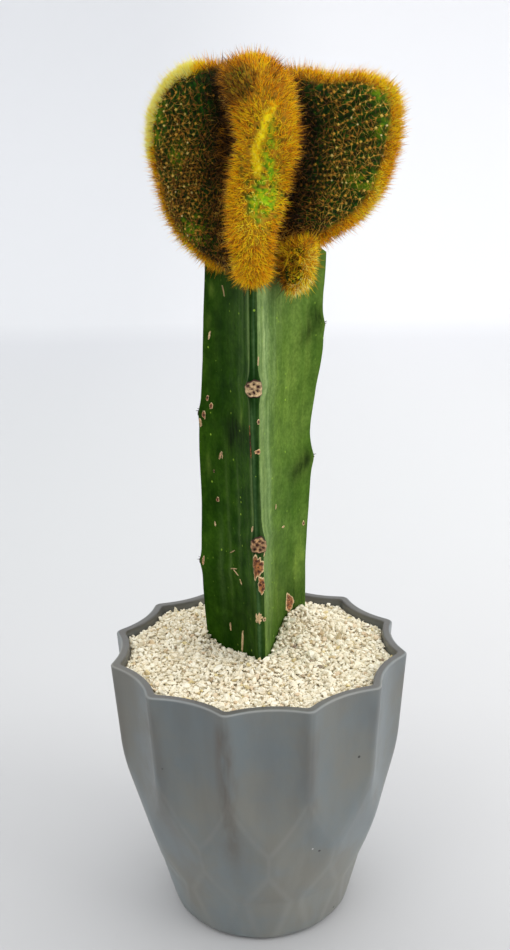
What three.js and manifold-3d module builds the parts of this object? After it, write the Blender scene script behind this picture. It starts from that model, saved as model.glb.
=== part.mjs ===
// A grafted cactus in its planter: a crested, bristled scion on a three-winged green rootstock,
// standing in a grey faceted planter filled with potting mix and topped with crushed grit.
// Units are millimetres, +Z is up, and the origin is on the planter's axis at its flat base.
// The front of the plant faces -Y.

import * as THREE from 'three';
import { mergeVertices } from 'three/addons/utils/BufferGeometryUtils.js';
import Module from 'manifold-3d';

const wasm = await Module();
wasm.setup();

// ---------------------------------------------------------------- driving dimensions

const GAP = 0.3;                     // clearance between pieces that touch
const OVERRUN = 6;                   // how far a cutter runs past the face it cuts through

// planter
const PANELS = 12;                   // flutes round the planter, with a crease between each two
const CREASE_TURN = -101.8;          // degrees from +X to the first crease
const POT_HEIGHT = 140.7;
const WALL = 4.3;
const FLOOR = 6;
const FLUTE_RIM_RADIUS = 68.8;       // axis to the middle of a flute, at the rim
const FLUTE_TAPER = 0.04;            // how fast the middle of a flute comes in, per mm of height
const FLUTE_CURVE = 45;              // radius of a flute's hollow at the rim
const FLUTE_OPENING = 0.43;          // how fast that radius grows downward, per mm of height
const FLUTE_FOOT = 40;               // height where the flute cutter ends, well inside the facets
const FLUTE_STEPS = 36;
const FOOT_RADIUS = 40.4;            // flat part of the underside
const FOOT_ROUND = 13;               // rounding between underside and wall
const FOOT_STEPS = 4;
const BODY_SLOPE = 0.313;            // outward slope of the body above that rounding
const BODY_RADIUS = 76;              // widest radius of the uncut body
const MID_FACET = [[79.7, 122], [69.85, 85.9], [53.8, 27.2], [45.7, -2]];         // [radius, height]
const LOW_FACET = [[71.8, 71.4], [62.2, 49.2], [52.6, 27], [48.1, 5], [46.7, -2]]; // [radius, height]
const LATHE_STEPS = 48;
const FACET_HALF_WIDTH = 30;
const CUTTER_REACH = 130;            // outer radius of the facet cutters
const CAVITY = [[42, 0], [48, 21], [56, 45], [62, 66], [71, 100]];     // [radius, height over the floor]
const DRAIN_HOLES = 4;
const DRAIN_RADIUS = 4;
const DRAIN_CIRCLE = 25;

// filling
const SOIL_TOP = 112;
const GRIT_LEVEL = 136.6;            // grit at the wall
const GRIT_HILLS = [                 // heaps, and a hollow where the height is less than zero
  { x: 0, y: 8, height: 3.2, spread: 38 },      // rise toward the stem
  { x: 20, y: 20, height: 12, spread: 17 },     // heap against the right face
  { x: 12, y: 6, height: 4.5, spread: 11 },
  { x: 4, y: -23, height: 4.5, spread: 8 },     // heap at the front ridge
  { x: -16, y: 8, height: -6.5, spread: 17 },   // hollow along the left face
];
const GRIT_ROUGHNESS = 0.5;
const GRIT_RADII = [76, 70, 62, 54, 46, 39, 33, 28, 23, 17, 10];
const GRIT_STEPS = 40;
const STONES = 24;                   // loose stones, each a piece of its own
const BEDDED_STONES = 26;            // stones half sunk in the bed, one body with it
const STONE_SIZE = [1.3, 2.2];       // least and greatest half-length of a stone
const STONE_WIDTH = [0.7, 0.9];      // its width as a share of its length
const STONE_DEPTH = [0.6, 0.8];      // its depth as a share of its length
const STONE_TILT = 0.5;              // greatest tilt, in radians
const STONE_RISE = 0.3;              // how high its middle lies over the bed, as a share of its half-length
const STONE_RING = [33, 59];         // radii between which loose stones lie

// rootstock: the path of each wing's ridge, [x, y, z]
const FRONT_RIDGE = [[2.4, -20, 96], [2, -22, 141], [1.3, -22, 195], [0.1, -22, 270], [0.4, -22, 320],
  [1, -21, 338]];
const LEFT_RIDGE = [[-23, 21, 96], [-26.2, 23, 141], [-27.5, 23, 177], [-26.6, 23, 210], [-27, 23, 240],
  [-25, 23, 267], [-23.2, 23, 298], [-21.6, 22.5, 325], [-21, 22, 338]];
const RIGHT_RIDGE = [[22, 24, 96], [24.7, 27, 149], [25, 27, 176], [27, 27, 212], [28.2, 27, 230],
  [27.2, 27, 244], [30, 27, 264], [33.6, 27, 284], [33.6, 27, 305], [35, 27, 326], [35.2, 27, 338]];
const RIDGE_WIDTH = 3.8;
const FACE_HOLLOW = 0.16;            // how far a wing's face sinks in, as a share of its width
const STOCK_FOOT = 84;
const STOCK_TOP = 336;
const SHOULDER = { drop: 5, inset: 0.22 };   // bevel trimmed on the ridges under the graft
const STOCK_RINGS = 30;
const FACE_STEPS = 5;
const FOOT_TAPER = { start: 110, run: 40 };   // the buried foot narrows below the start height
const ROOTS = 7;
const ROOT = {
  length: 44, top: 3.2, tip: 0.9, turn: 11, dip: 38, dipStep: 14, shorter: 6, ring: 4.4, height: 90,
};
const AREOLE = { radius: 2.8, depth: 1.3, proud: 0.7 };
const AREOLE_HEIGHTS = { front: [200.4, 274.2], left: [176.5, 254.6], right: [230.1, 296.6] };
const STOCK_SPINE = { length: 2.8, radius: 0.45, count: 4, splay: 38, ring: 0.9 };

// scion: each lobe is a thick fan with flat faces and a round rim.
// origin is the fan's root, turn the heading of its plane in degrees from +X, half its half-thickness,
// outline the rim's distance from the root at angles from the plane's heading up toward +Z.
const LOBES = [
  { name: 'left', origin: [4, 8, 355], turn: 169, half: 10.5, meander: 0, pinch: 0,
    outline: [[6, 45], [18, 49.5], [31, 57], [43, 63], [55, 64.5], [67, 62], [82, 54], [120, 34], [180, 16],
      [240, 27], [278, 35.5], [305, 35], [330, 38.5]] },
  { name: 'right', origin: [10, 6, 362], turn: -8, half: 10.5, meander: 0, pinch: 0,
    outline: [[5, 51], [20, 58], [33, 64.5], [45, 61], [58, 51.5], [77, 47.5], [120, 36], [180, 16],
      [250, 24], [300, 31], [325, 36.5], [346, 44.5]] },
  { name: 'centre', origin: [0.5, 4, 362], turn: -90, half: 11.5, meander: 7, pinch: 0.42,
    outline: [[0, 31.5], [25, 36], [45, 43], [65, 48.5], [85, 49.5], [105, 46], [130, 34], [180, 16],
      [240, 22], [275, 36], [295, 45], [308, 50], [320, 45], [338, 36]] },
  { name: 'tongue', origin: [19.8, -8.5, 330], turn: -15, half: 5.5, meander: 0, pinch: 0,
    outline: [[0, 8.5], [45, 14], [75, 17], [120, 12], [180, 7.5], [225, 9], [262, 14], [290, 13.5],
      [325, 9]] },
  { name: 'back', origin: [4, 12, 362], turn: 92, half: 12, meander: 0, pinch: 0,
    outline: [[0, 28], [30, 33], [60, 41], [90, 44], [150, 20], [210, 18], [270, 31], [320, 30]] },
];
const MEANDER = { height: 380, spread: 22 };   // where the centre lobe swings to the right
const PINCH = { angle: 300, spread: 32 };      // where its rim grows thinner, low at the front
const LOBE_CORE = 2;                 // least radius of a lobe's flat middle
const LOBE_STEPS = 36;
const RIM_STEPS = 6;
const SPINE_LENGTH = 5.6;
const SPINE_RADIUS = 0.42;
const SPINE_SPACING = 6.6;
const SPINE_ROOT = 2.4;              // length of a bristle's base inside the skin
const SPINE_TURNS = [15, 45, 75, 105, 135, 165];   // rows from one face of a lobe over its rim to the other
const SPINE_STEP = 7;                // degrees between bristles of a row
const SPINE_CLEARANCE = 1.5;         // least distance to the next lobe
const STEM_KEEP_OUT = { x: 3, y: 6, radius: 44, front: -24, height: 338 };   // no bristles this near the stem

// ---------------------------------------------------------------- materials

const COLOURS = {
  planter: new THREE.MeshStandardMaterial({ color: 0x74777a, roughness: 0.55, metalness: 0 }),
  soil: new THREE.MeshStandardMaterial({ color: 0x3b2c21, roughness: 1, metalness: 0 }),
  grit: new THREE.MeshStandardMaterial({ color: 0xe6dcc6, roughness: 0.95, metalness: 0 }),
  stone: new THREE.MeshStandardMaterial({ color: 0xf1e9d8, roughness: 0.9, metalness: 0 }),
  stock: new THREE.MeshStandardMaterial({ color: 0x2f6a25, roughness: 0.45, metalness: 0 }),
  scion: new THREE.MeshStandardMaterial({ color: 0xb98420, roughness: 0.7, metalness: 0 }),
};

// ---------------------------------------------------------------- general helpers

const radians = THREE.MathUtils.degToRad;

/** Closed geometry to solid. */
function solid(geometry) {
  const bare = geometry.clone();
  for (const name of Object.keys(bare.attributes)) {
    if (name !== 'position') bare.deleteAttribute(name);
  }
  const merged = mergeVertices(bare, 1e-4);
  return new wasm.Manifold(new wasm.Mesh({
    numProp: 3,
    vertProperties: new Float32Array(merged.attributes.position.array),
    triVerts: new Uint32Array(merged.index.array),
  }));
}

/** Solid back to geometry. */
function geometryOf(body) {
  const mesh = body.getMesh();
  const geometry = new THREE.BufferGeometry();
  geometry.setAttribute('position', new THREE.BufferAttribute(mesh.vertProperties, 3));
  geometry.setIndex(new THREE.BufferAttribute(mesh.triVerts, 1));
  geometry.computeVertexNormals();
  return geometry;
}

function named(name, geometry, material) {
  const mesh = new THREE.Mesh(geometry, material);
  mesh.name = name;
  return mesh;
}

/** Repeatable numbers between 0 and 1. */
function randomSource(seed) {
  let state = seed;
  return () => {
    state = (state * 1664525 + 1013904223) % 4294967296;
    return state / 4294967296;
  };
}

/** A closed skin over a stack of rings, each a list of points turning anticlockwise seen from the far end. */
function ringSolid(rings) {
  const count = rings[0].length;
  const total = (ring) => ring.reduce((sum, point) => sum.add(point), new THREE.Vector3());
  const centreOf = (ring) => total(ring).divideScalar(count);
  const points = [centreOf(rings[0]), ...rings.flat(), centreOf(rings.at(-1))];
  const index = [];
  const at = (ring, step) => 1 + ring * count + (step % count);
  for (let step = 0; step < count; step += 1) {
    index.push(0, at(0, step + 1), at(0, step));
    for (let ring = 0; ring + 1 < rings.length; ring += 1) {
      index.push(at(ring, step), at(ring, step + 1), at(ring + 1, step));
      index.push(at(ring, step + 1), at(ring + 1, step + 1), at(ring + 1, step));
    }
    index.push(points.length - 1, at(rings.length - 1, step), at(rings.length - 1, step + 1));
  }
  const geometry = new THREE.BufferGeometry().setFromPoints(points);
  geometry.setIndex(index);
  geometry.computeVertexNormals();
  return geometry;
}

/** A slim cone with its base centre at a point, pointing along a direction. */
function spike(base, direction, length, radius) {
  const cone = new THREE.ConeGeometry(radius, length, 3, 1);
  cone.translate(0, length / 2, 0);
  cone.applyQuaternion(new THREE.Quaternion().setFromUnitVectors(new THREE.Vector3(0, 1, 0), direction));
  cone.translate(base.x, base.y, base.z);
  return cone;
}

function withSpikes(body, spikes) {
  return spikes.reduce((whole, shape) => whole.add(solid(shape)), body);
}

// ---------------------------------------------------------------- planter and filling

/** The hollow of one flute as a sheared cone standing at radius +X, moved in by `inset`. */
function fluteCutter(inset) {
  const top = POT_HEIGHT + OVERRUN;
  const height = top - FLUTE_FOOT;
  const curveAt = (z) => FLUTE_CURVE + inset + FLUTE_OPENING * (POT_HEIGHT - z);
  const faceAt = (z) => FLUTE_RIM_RADIUS - inset - FLUTE_TAPER * (POT_HEIGHT - z);
  const centreAt = (z) => faceAt(z) + curveAt(z);
  const cone = new THREE.CylinderGeometry(curveAt(top), curveAt(FLUTE_FOOT), height, FLUTE_STEPS, 1);
  cone.rotateX(Math.PI / 2);
  cone.translate(0, 0, FLUTE_FOOT + height / 2);
  const slope = (centreAt(top) - centreAt(FLUTE_FOOT)) / height;
  const shear = new THREE.Matrix4().set(
    1, 0, slope, centreAt(FLUTE_FOOT) - slope * FLUTE_FOOT,
    0, 1, 0, 0,
    0, 0, 1, 0,
    0, 0, 0, 1,
  );
  return solid(cone.applyMatrix4(shear));
}

/** A slab whose inner face follows a [radius, height] profile, standing across +X. */
function facetCutter(profile) {
  const outline = new THREE.Shape();
  outline.moveTo(CUTTER_REACH, profile[0][1]);
  for (const [radius, height] of profile) outline.lineTo(radius, height);
  outline.lineTo(CUTTER_REACH, profile.at(-1)[1]);
  const slab = new THREE.ExtrudeGeometry(outline, { depth: 2 * FACET_HALF_WIDTH, bevelEnabled: false });
  slab.translate(0, 0, -FACET_HALF_WIDTH);
  slab.rotateX(Math.PI / 2);
  return solid(slab);
}

/** Cuts a body at every panel, or at every crease between two panels. */
function cutRound(body, cutter, offset) {
  let result = body;
  for (let panel = 0; panel < PANELS; panel += 1) {
    const turn = CREASE_TURN + (panel + offset) * 360 / PANELS;
    result = result.subtract(cutter.rotate([0, 0, turn]));
  }
  return result;
}

/** A body of revolution from a profile of [radius, height] points. */
function lathe(profile) {
  const points = profile.map(([radius, height]) => new THREE.Vector2(radius, height));
  const geometry = new THREE.LatheGeometry(points, LATHE_STEPS);
  geometry.rotateX(Math.PI / 2);
  return solid(geometry);
}

function potBody() {
  const profile = [[0, 0]];
  for (let step = 0; step <= FOOT_STEPS; step += 1) {
    const angle = radians(step * 90 / FOOT_STEPS);
    profile.push([FOOT_RADIUS + FOOT_ROUND * Math.sin(angle), FOOT_ROUND * (1 - Math.cos(angle))]);
  }
  const wallStart = FOOT_RADIUS + FOOT_ROUND;
  profile.push([BODY_RADIUS, FOOT_ROUND + (BODY_RADIUS - wallStart) / BODY_SLOPE]);
  profile.push([BODY_RADIUS, POT_HEIGHT], [0, POT_HEIGHT]);
  let body = lathe(profile);
  body = cutRound(body, fluteCutter(0), 0.5);
  body = cutRound(body, facetCutter(MID_FACET), 0);
  return cutRound(body, facetCutter(LOW_FACET), 0.5);
}

/** The planter's inside, drawn in by `clearance` and cut off at a bottom and a top height. */
function cavity(clearance, bottom, top) {
  const wall = CAVITY.map(([radius, height]) => [radius - clearance, FLOOR + height]);
  const mouth = POT_HEIGHT + OVERRUN;
  const profile = [[0, FLOOR], ...wall, [wall.at(-1)[0], mouth], [0, mouth]];
  const room = cutRound(lathe(profile), fluteCutter(WALL + clearance), 0.5);
  const slice = new THREE.BoxGeometry(2 * CUTTER_REACH, 2 * CUTTER_REACH, top - bottom);
  slice.translate(0, 0, (top + bottom) / 2);
  return room.intersect(solid(slice));
}

function pot() {
  let body = potBody().subtract(cavity(0, 0, POT_HEIGHT + OVERRUN));
  for (let hole = 0; hole < DRAIN_HOLES; hole += 1) {
    const angle = radians(45 + hole * 360 / DRAIN_HOLES);
    const drill = new THREE.CylinderGeometry(DRAIN_RADIUS, DRAIN_RADIUS, 2 * (FLOOR + OVERRUN), 20);
    drill.rotateX(Math.PI / 2);
    drill.translate(DRAIN_CIRCLE * Math.cos(angle), DRAIN_CIRCLE * Math.sin(angle), 0);
    body = body.subtract(solid(drill));
  }
  return body;
}

/** Height of the grit at a place, before the small stones' unevenness. */
function gritHeight(x, y) {
  const rise = (hill) => hill.height * Math.exp(-((x - hill.x) ** 2 + (y - hill.y) ** 2) / hill.spread ** 2);
  return GRIT_HILLS.reduce((height, hill) => height + rise(hill), GRIT_LEVEL);
}

/** A drum with the heaped grit surface as its top. */
function gritHeap() {
  const random = randomSource(7);
  const ringAt = (radius, heightAt) => Array.from({ length: GRIT_STEPS }, (unused, step) => {
    const angle = 2 * Math.PI * step / GRIT_STEPS;
    const x = radius * Math.cos(angle);
    const y = radius * Math.sin(angle);
    return new THREE.Vector3(x, y, heightAt(x, y));
  });
  const rough = (x, y) => gritHeight(x, y) + GRIT_ROUGHNESS * (2 * random() - 1);
  const underside = () => SOIL_TOP + GAP;
  const rings = [ringAt(GRIT_RADII.at(-1), underside), ringAt(GRIT_RADII[0], underside)];
  for (const radius of GRIT_RADII) rings.push(ringAt(radius, rough));
  return solid(ringSolid(rings));
}

/** Places and shapes of the stones that stand out of the bed, the loose ones first. */
function stonePlan() {
  const random = randomSource(23);
  const between = ([least, greatest], share = random()) => THREE.MathUtils.lerp(least, greatest, share);
  const stones = [];
  while (stones.length < STONES + BEDDED_STONES) {
    const radius = between(STONE_RING, Math.sqrt(random()));
    const angle = 2 * Math.PI * random();
    const half = between(STONE_SIZE);
    const x = radius * Math.cos(angle);
    const y = radius * Math.sin(angle);
    const stone = {
      position: new THREE.Vector3(x, y, gritHeight(x, y) + STONE_RISE * half),
      scale: new THREE.Vector3(half, half * between(STONE_WIDTH), half * between(STONE_DEPTH)),
      turn: new THREE.Euler(STONE_TILT * random(), STONE_TILT * random(), 2 * Math.PI * random()),
      half,
    };
    const away = (other) => other.position.distanceTo(stone.position) - other.half - half;
    if (stones.every((other) => away(other) > 2 * GAP)) stones.push(stone);
  }
  return stones;
}

function stoneGeometry(stone, clearance) {
  const shape = new THREE.IcosahedronGeometry(1, 0);
  shape.scale(stone.scale.x + clearance, stone.scale.y + clearance, stone.scale.z + clearance);
  shape.applyQuaternion(new THREE.Quaternion().setFromEuler(stone.turn));
  shape.translate(stone.position.x, stone.position.y, stone.position.z);
  return shape;
}

// ---------------------------------------------------------------- rootstock

/** A ridge's path as close points along a smooth curve. */
function ridgeCurve(points) {
  const places = points.map((point) => new THREE.Vector3(...point));
  return new THREE.CatmullRomCurve3(places, false, 'centripetal').getPoints(200);
}

const RIDGES = [FRONT_RIDGE, RIGHT_RIDGE, LEFT_RIDGE].map(ridgeCurve);

/** Where a ridge passes a height, as seen from above. */
function ridgeAt(path, height) {
  const above = path.findIndex((point) => point.z >= height);
  if (above === 0) return new THREE.Vector2(path[0].x, path[0].y);
  const after = above < 0 ? path.at(-1) : path[above];
  const before = above < 0 ? path.at(-1) : path[above - 1];
  const share = after.z > before.z ? (height - before.z) / (after.z - before.z) : 0;
  return new THREE.Vector2(before.x, before.y).lerp(new THREE.Vector2(after.x, after.y), share);
}

/** The three ridges and the stem's centre at a height. */
function stockLevel(height) {
  const tips = RIDGES.map((path) => ridgeAt(path, height));
  const centre = tips.reduce((sum, tip) => sum.add(tip), new THREE.Vector2()).divideScalar(tips.length);
  return { tips, centre };
}

/** One level of the rootstock: three flat ridges joined by hollow faces. */
function stockSection(height, clearance) {
  const { tips, centre } = stockLevel(height);
  const shoulder = (height - STOCK_TOP + SHOULDER.drop) / SHOULDER.drop;
  const trim = SHOULDER.inset * THREE.MathUtils.clamp(shoulder, 0, 1);
  const taper = Math.max((FOOT_TAPER.start - height) / FOOT_TAPER.run, 0);
  const corners = tips.map((tip) => {
    const out = tip.clone().sub(centre);
    const along = out.clone().normalize();
    const across = new THREE.Vector2(-along.y, along.x);
    const end = centre.clone().add(out.multiplyScalar(1 - trim - taper)).addScaledVector(along, clearance);
    const half = RIDGE_WIDTH / 2 + clearance;
    return [end.clone().addScaledVector(across, -half), end.clone().addScaledVector(across, half)];
  });
  const ring = [];
  corners.forEach(([near, far], side) => {
    const next = corners[(side + 1) % 3][0];
    const middle = far.clone().add(next).multiplyScalar(0.5);
    const inward = centre.clone().sub(middle).normalize();
    const sag = FACE_HOLLOW * far.distanceTo(next) - clearance;
    const control = middle.addScaledVector(inward, sag);
    const face = new THREE.QuadraticBezierCurve(far, control, next);
    ring.push(near, ...face.getPoints(FACE_STEPS).slice(0, -1));
  });
  return ring.map((point) => new THREE.Vector3(point.x, point.y, height));
}

/** Heading of a ridge at a height, pointing out of the stem. */
function ridgeHeading(side, height) {
  const { tips, centre } = stockLevel(height);
  const out = tips[side].sub(centre).normalize();
  return new THREE.Vector3(out.x, out.y, 0);
}

/** Places and headings of the corky pads that carry the stock's spines. */
function areoles() {
  return ['front', 'right', 'left'].flatMap((name, side) => AREOLE_HEIGHTS[name].map((height) => {
    const tip = ridgeAt(RIDGES[side], height);
    return { place: new THREE.Vector3(tip.x, tip.y, height), heading: ridgeHeading(side, height) };
  }));
}

/** One of the tapered roots that run out and down from the stem's foot. */
function root(number, clearance) {
  const angle = radians(number * 360 / ROOTS + ROOT.turn);
  const dip = radians(ROOT.dip + ROOT.dipStep * (number % 3));
  const direction = new THREE.Vector3(
    Math.cos(angle) * Math.cos(dip),
    Math.sin(angle) * Math.cos(dip),
    -Math.sin(dip),
  );
  const length = ROOT.length - ROOT.shorter * (number % 2) + clearance;
  const shape = new THREE.CylinderGeometry(ROOT.tip + clearance, ROOT.top + clearance, length, 8);
  shape.translate(0, length / 2, 0);
  shape.applyQuaternion(new THREE.Quaternion().setFromUnitVectors(new THREE.Vector3(0, 1, 0), direction));
  const { centre } = stockLevel(ROOT.height);
  const start = new THREE.Vector3(ROOT.ring * Math.cos(angle), ROOT.ring * Math.sin(angle), ROOT.height);
  shape.translate(centre.x + start.x, centre.y + start.y, start.z);
  return solid(shape);
}

/** The stem with its areole pads and roots, grown outward by `clearance`. */
function rootstock(clearance) {
  const rings = [];
  const foot = STOCK_FOOT - clearance;
  const shoulder = STOCK_TOP - SHOULDER.drop;
  for (let ring = 0; ring <= STOCK_RINGS; ring += 1) {
    rings.push(stockSection(THREE.MathUtils.lerp(foot, shoulder, ring / STOCK_RINGS), clearance));
  }
  rings.push(stockSection(STOCK_TOP + clearance, clearance));
  let body = solid(ringSolid(rings));
  for (let number = 0; number < ROOTS; number += 1) body = body.add(root(number, clearance));
  for (const { place, heading } of areoles()) {
    const pad = new THREE.CylinderGeometry(
      0.8 * AREOLE.radius + clearance,
      AREOLE.radius + clearance,
      AREOLE.depth + clearance,
      12,
    );
    pad.translate(0, (AREOLE.depth + clearance) / 2 - AREOLE.depth + AREOLE.proud, 0);
    pad.applyQuaternion(new THREE.Quaternion().setFromUnitVectors(new THREE.Vector3(0, 1, 0), heading));
    pad.translate(place.x, place.y, place.z);
    body = body.add(solid(pad));
  }
  return body;
}

function stockSpines() {
  const spikes = [];
  for (const { place, heading } of areoles()) {
    const base = place.clone().addScaledVector(heading, AREOLE.proud - SPINE_ROOT);
    const side = new THREE.Vector3(-heading.y, heading.x, 0);
    for (let number = 0; number < STOCK_SPINE.count; number += 1) {
      const angle = radians(45 + number * 360 / STOCK_SPINE.count);
      const away = side.clone().multiplyScalar(Math.cos(angle)).add(new THREE.Vector3(0, 0, Math.sin(angle)));
      const splay = radians(STOCK_SPINE.splay);
      const direction = heading.clone().multiplyScalar(Math.cos(splay))
        .addScaledVector(away, Math.sin(splay));
      const start = base.clone().addScaledVector(away, STOCK_SPINE.ring);
      spikes.push(spike(start, direction.normalize(), SPINE_ROOT + STOCK_SPINE.length, STOCK_SPINE.radius));
    }
  }
  return spikes;
}

// ---------------------------------------------------------------- scion

/** The directions of a lobe's plane: out along its heading, up, and square to its faces. */
function lobeFrame(lobe) {
  const turn = radians(lobe.turn);
  return {
    root: new THREE.Vector3(...lobe.origin),
    out: new THREE.Vector3(Math.cos(turn), Math.sin(turn), 0),
    up: new THREE.Vector3(0, 0, 1),
    square: new THREE.Vector3(Math.sin(turn), -Math.cos(turn), 0),
  };
}

/** Distance from a lobe's root to its rim at an angle, smoothly through the outline's points. */
function rimDistance(lobe, angle) {
  const count = lobe.outline.length;
  const position = THREE.MathUtils.euclideanModulo(angle - lobe.outline[0][0], 360) + lobe.outline[0][0];
  let span = lobe.outline.findIndex(([start], number) => {
    const end = number + 1 < count ? lobe.outline[number + 1][0] : lobe.outline[0][0] + 360;
    return position >= start && position < end;
  });
  span = Math.max(span, 0);
  const value = (number) => lobe.outline[(number + count) % count][1];
  const start = lobe.outline[span][0];
  const end = span + 1 < count ? lobe.outline[span + 1][0] : lobe.outline[0][0] + 360;
  const share = (position - start) / (end - start);
  const [before, here, next, after] = [value(span - 1), value(span), value(span + 1), value(span + 2)];
  const square = share * share;
  return 0.5 * (2 * here + (next - before) * share + (2 * before - 5 * here + 4 * next - after) * square
    + (3 * here - before - 3 * next + after) * square * share);
}

/** Half a lobe's thickness at an angle round its plane. */
function halfAt(lobe, angle) {
  const away = THREE.MathUtils.euclideanModulo(angle - PINCH.angle + 180, 360) - 180;
  return lobe.half * (1 - lobe.pinch * Math.exp(-((away / PINCH.spread) ** 2)));
}

function meanderAt(lobe, height) {
  return lobe.meander * Math.exp(-(((height - MEANDER.height) / MEANDER.spread) ** 2));
}

/** A point of a lobe's skin: `angle` round its plane, `turn` from one face over the rim to the other. */
function lobePoint(lobe, angle, turn, share = 1) {
  const frame = lobeFrame(lobe);
  const half = halfAt(lobe, angle);
  const flat = Math.max(rimDistance(lobe, angle) - half, LOBE_CORE) * share;
  const reach = flat + half * Math.sin(radians(turn));
  const direction = frame.out.clone().multiplyScalar(Math.cos(radians(angle)))
    .addScaledVector(frame.up, Math.sin(radians(angle)));
  const point = frame.root.clone().addScaledVector(direction, reach)
    .addScaledVector(frame.square, half * Math.cos(radians(turn)));
  point.x += meanderAt(lobe, point.z);
  const normal = direction.multiplyScalar(Math.sin(radians(turn)))
    .addScaledVector(frame.square, Math.cos(radians(turn)));
  return { point, normal };
}

function lobeSolid(lobe) {
  const rings = [];
  const ring = (turn, share) => Array.from(
    { length: LOBE_STEPS },
    (unused, step) => lobePoint(lobe, step * 360 / LOBE_STEPS, turn, share).point,
  );
  rings.push(ring(180, 0.5));
  for (let step = 0; step <= RIM_STEPS; step += 1) rings.push(ring(180 - step * 180 / RIM_STEPS, 1));
  rings.push(ring(0, 0.5));
  return solid(ringSolid(rings));
}

/** How far a point is outside a lobe's skin, less than zero inside it. */
function lobeClearance(lobe, point) {
  const frame = lobeFrame(lobe);
  const local = point.clone().sub(frame.root);
  local.x -= meanderAt(lobe, point.z);
  const across = local.dot(frame.square);
  const out = local.dot(frame.out);
  const angle = THREE.MathUtils.radToDeg(Math.atan2(local.z, out));
  const half = halfAt(lobe, angle);
  const beyond = Math.hypot(out, local.z) - Math.max(rimDistance(lobe, angle) - half, LOBE_CORE);
  return beyond < 0 ? Math.abs(across) - half : Math.hypot(beyond, across) - half;
}

function nearStem(point) {
  const away = Math.hypot(point.x - STEM_KEEP_OUT.x, point.y - STEM_KEEP_OUT.y);
  return point.z < STEM_KEEP_OUT.height && point.y > STEM_KEEP_OUT.front && away < STEM_KEEP_OUT.radius;
}

function scion() {
  const body = LOBES.map(lobeSolid).reduce((whole, lobe) => whole.add(lobe));
  return withSpikes(body.subtract(rootstock(GAP)), scionSpines());
}

/** Bristles spread over the lobes' rims and faces, kept clear of each other and of the next lobe. */
function scionSpines() {
  const placed = [];
  for (const lobe of LOBES) {
    const others = LOBES.filter((other) => other !== lobe);
    for (const turn of SPINE_TURNS) {
      for (let angle = 0; angle < 360; angle += SPINE_STEP) {
        const { point, normal } = lobePoint(lobe, angle, turn);
        const tip = point.clone().addScaledVector(normal, SPINE_LENGTH);
        const blocked = others.some((other) => lobeClearance(other, point) < SPINE_CLEARANCE
          || lobeClearance(other, tip) < SPINE_CLEARANCE);
        const crowded = placed.some((spine) => spine.point.distanceTo(point) < SPINE_SPACING
          || spine.tip.distanceTo(tip) < SPINE_SPACING / 2);
        if (!blocked && !crowded && !nearStem(tip)) placed.push({ point, tip, normal });
      }
    }
  }
  return placed.map(({ point, normal }) => {
    const base = point.clone().addScaledVector(normal, -SPINE_ROOT);
    return spike(base, normal, SPINE_ROOT + SPINE_LENGTH, SPINE_RADIUS);
  });
}

// ---------------------------------------------------------------- assembly

const stones = stonePlan();
const looseStones = stones.slice(0, STONES);
const beddedStones = stones.slice(STONES);
const stockWithClearance = rootstock(GAP);

const soil = cavity(GAP, FLOOR + GAP, SOIL_TOP).subtract(stockWithClearance);
let grit = cavity(GAP, SOIL_TOP, POT_HEIGHT + OVERRUN).intersect(gritHeap()).subtract(stockWithClearance);
for (const stone of looseStones) grit = grit.subtract(solid(stoneGeometry(stone, GAP)));
for (const stone of beddedStones) grit = grit.add(solid(stoneGeometry(stone, 0)));

const cactus = new THREE.Group();
cactus.add(
  named('pot', geometryOf(pot()), COLOURS.planter),
  named('potting_soil', geometryOf(soil), COLOURS.soil),
  named('grit_bed', geometryOf(grit), COLOURS.grit),
  named('rootstock', geometryOf(withSpikes(rootstock(0), stockSpines())), COLOURS.stock),
  named('scion', geometryOf(scion()), COLOURS.scion),
);
looseStones.forEach((stone, number) => {
  const name = `grit_stone_${String(number + 1).padStart(2, '0')}`;
  cactus.add(named(name, stoneGeometry(stone, 0), COLOURS.stone));
});

export default cactus;
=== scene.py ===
"""A potted crested cactus: a bristled scion on a three-winged stock, in a faceted planter of grit.

Sizes are written in millimetres and become metres when a mesh is made. +Z is up and the front of the
plant faces -Y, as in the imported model, so every piece lies where its CAD node lies.
"""

from __future__ import annotations

import logging
import sys
from collections.abc import Callable, Sequence
from dataclasses import dataclass, field
from enum import Enum

import bmesh
import bpy
import numpy as np
from mathutils import Matrix, Vector


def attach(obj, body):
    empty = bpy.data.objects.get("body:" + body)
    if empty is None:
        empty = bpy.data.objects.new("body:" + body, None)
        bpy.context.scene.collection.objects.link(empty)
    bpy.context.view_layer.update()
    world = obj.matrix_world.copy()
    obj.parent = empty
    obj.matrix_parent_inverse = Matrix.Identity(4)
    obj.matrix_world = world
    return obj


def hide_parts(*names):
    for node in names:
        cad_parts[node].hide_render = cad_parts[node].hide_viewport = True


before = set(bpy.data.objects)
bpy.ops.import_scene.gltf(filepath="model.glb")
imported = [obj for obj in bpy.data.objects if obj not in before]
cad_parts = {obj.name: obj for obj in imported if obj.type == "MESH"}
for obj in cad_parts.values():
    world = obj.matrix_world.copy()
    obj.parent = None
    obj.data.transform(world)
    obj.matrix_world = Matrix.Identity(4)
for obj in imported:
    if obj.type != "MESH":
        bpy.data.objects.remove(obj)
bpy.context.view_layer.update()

LOG = logging.getLogger("potted_cactus")
MM = 0.001
MAP_NAME = "OFBake"
Array = np.ndarray
Colour = tuple[float, float, float]
UP = np.array([0.0, 0.0, 1.0])
CELL_PRIMES = np.array([73856093, 19349663, 83492791])
SEED_PRIME, BLEND_PRIME = 2654435761, 1274126177
LONG_WORD, WORD = 0xFFFFFFFF, 0xFFFF
WELD_REACH = 2e-6


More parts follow.
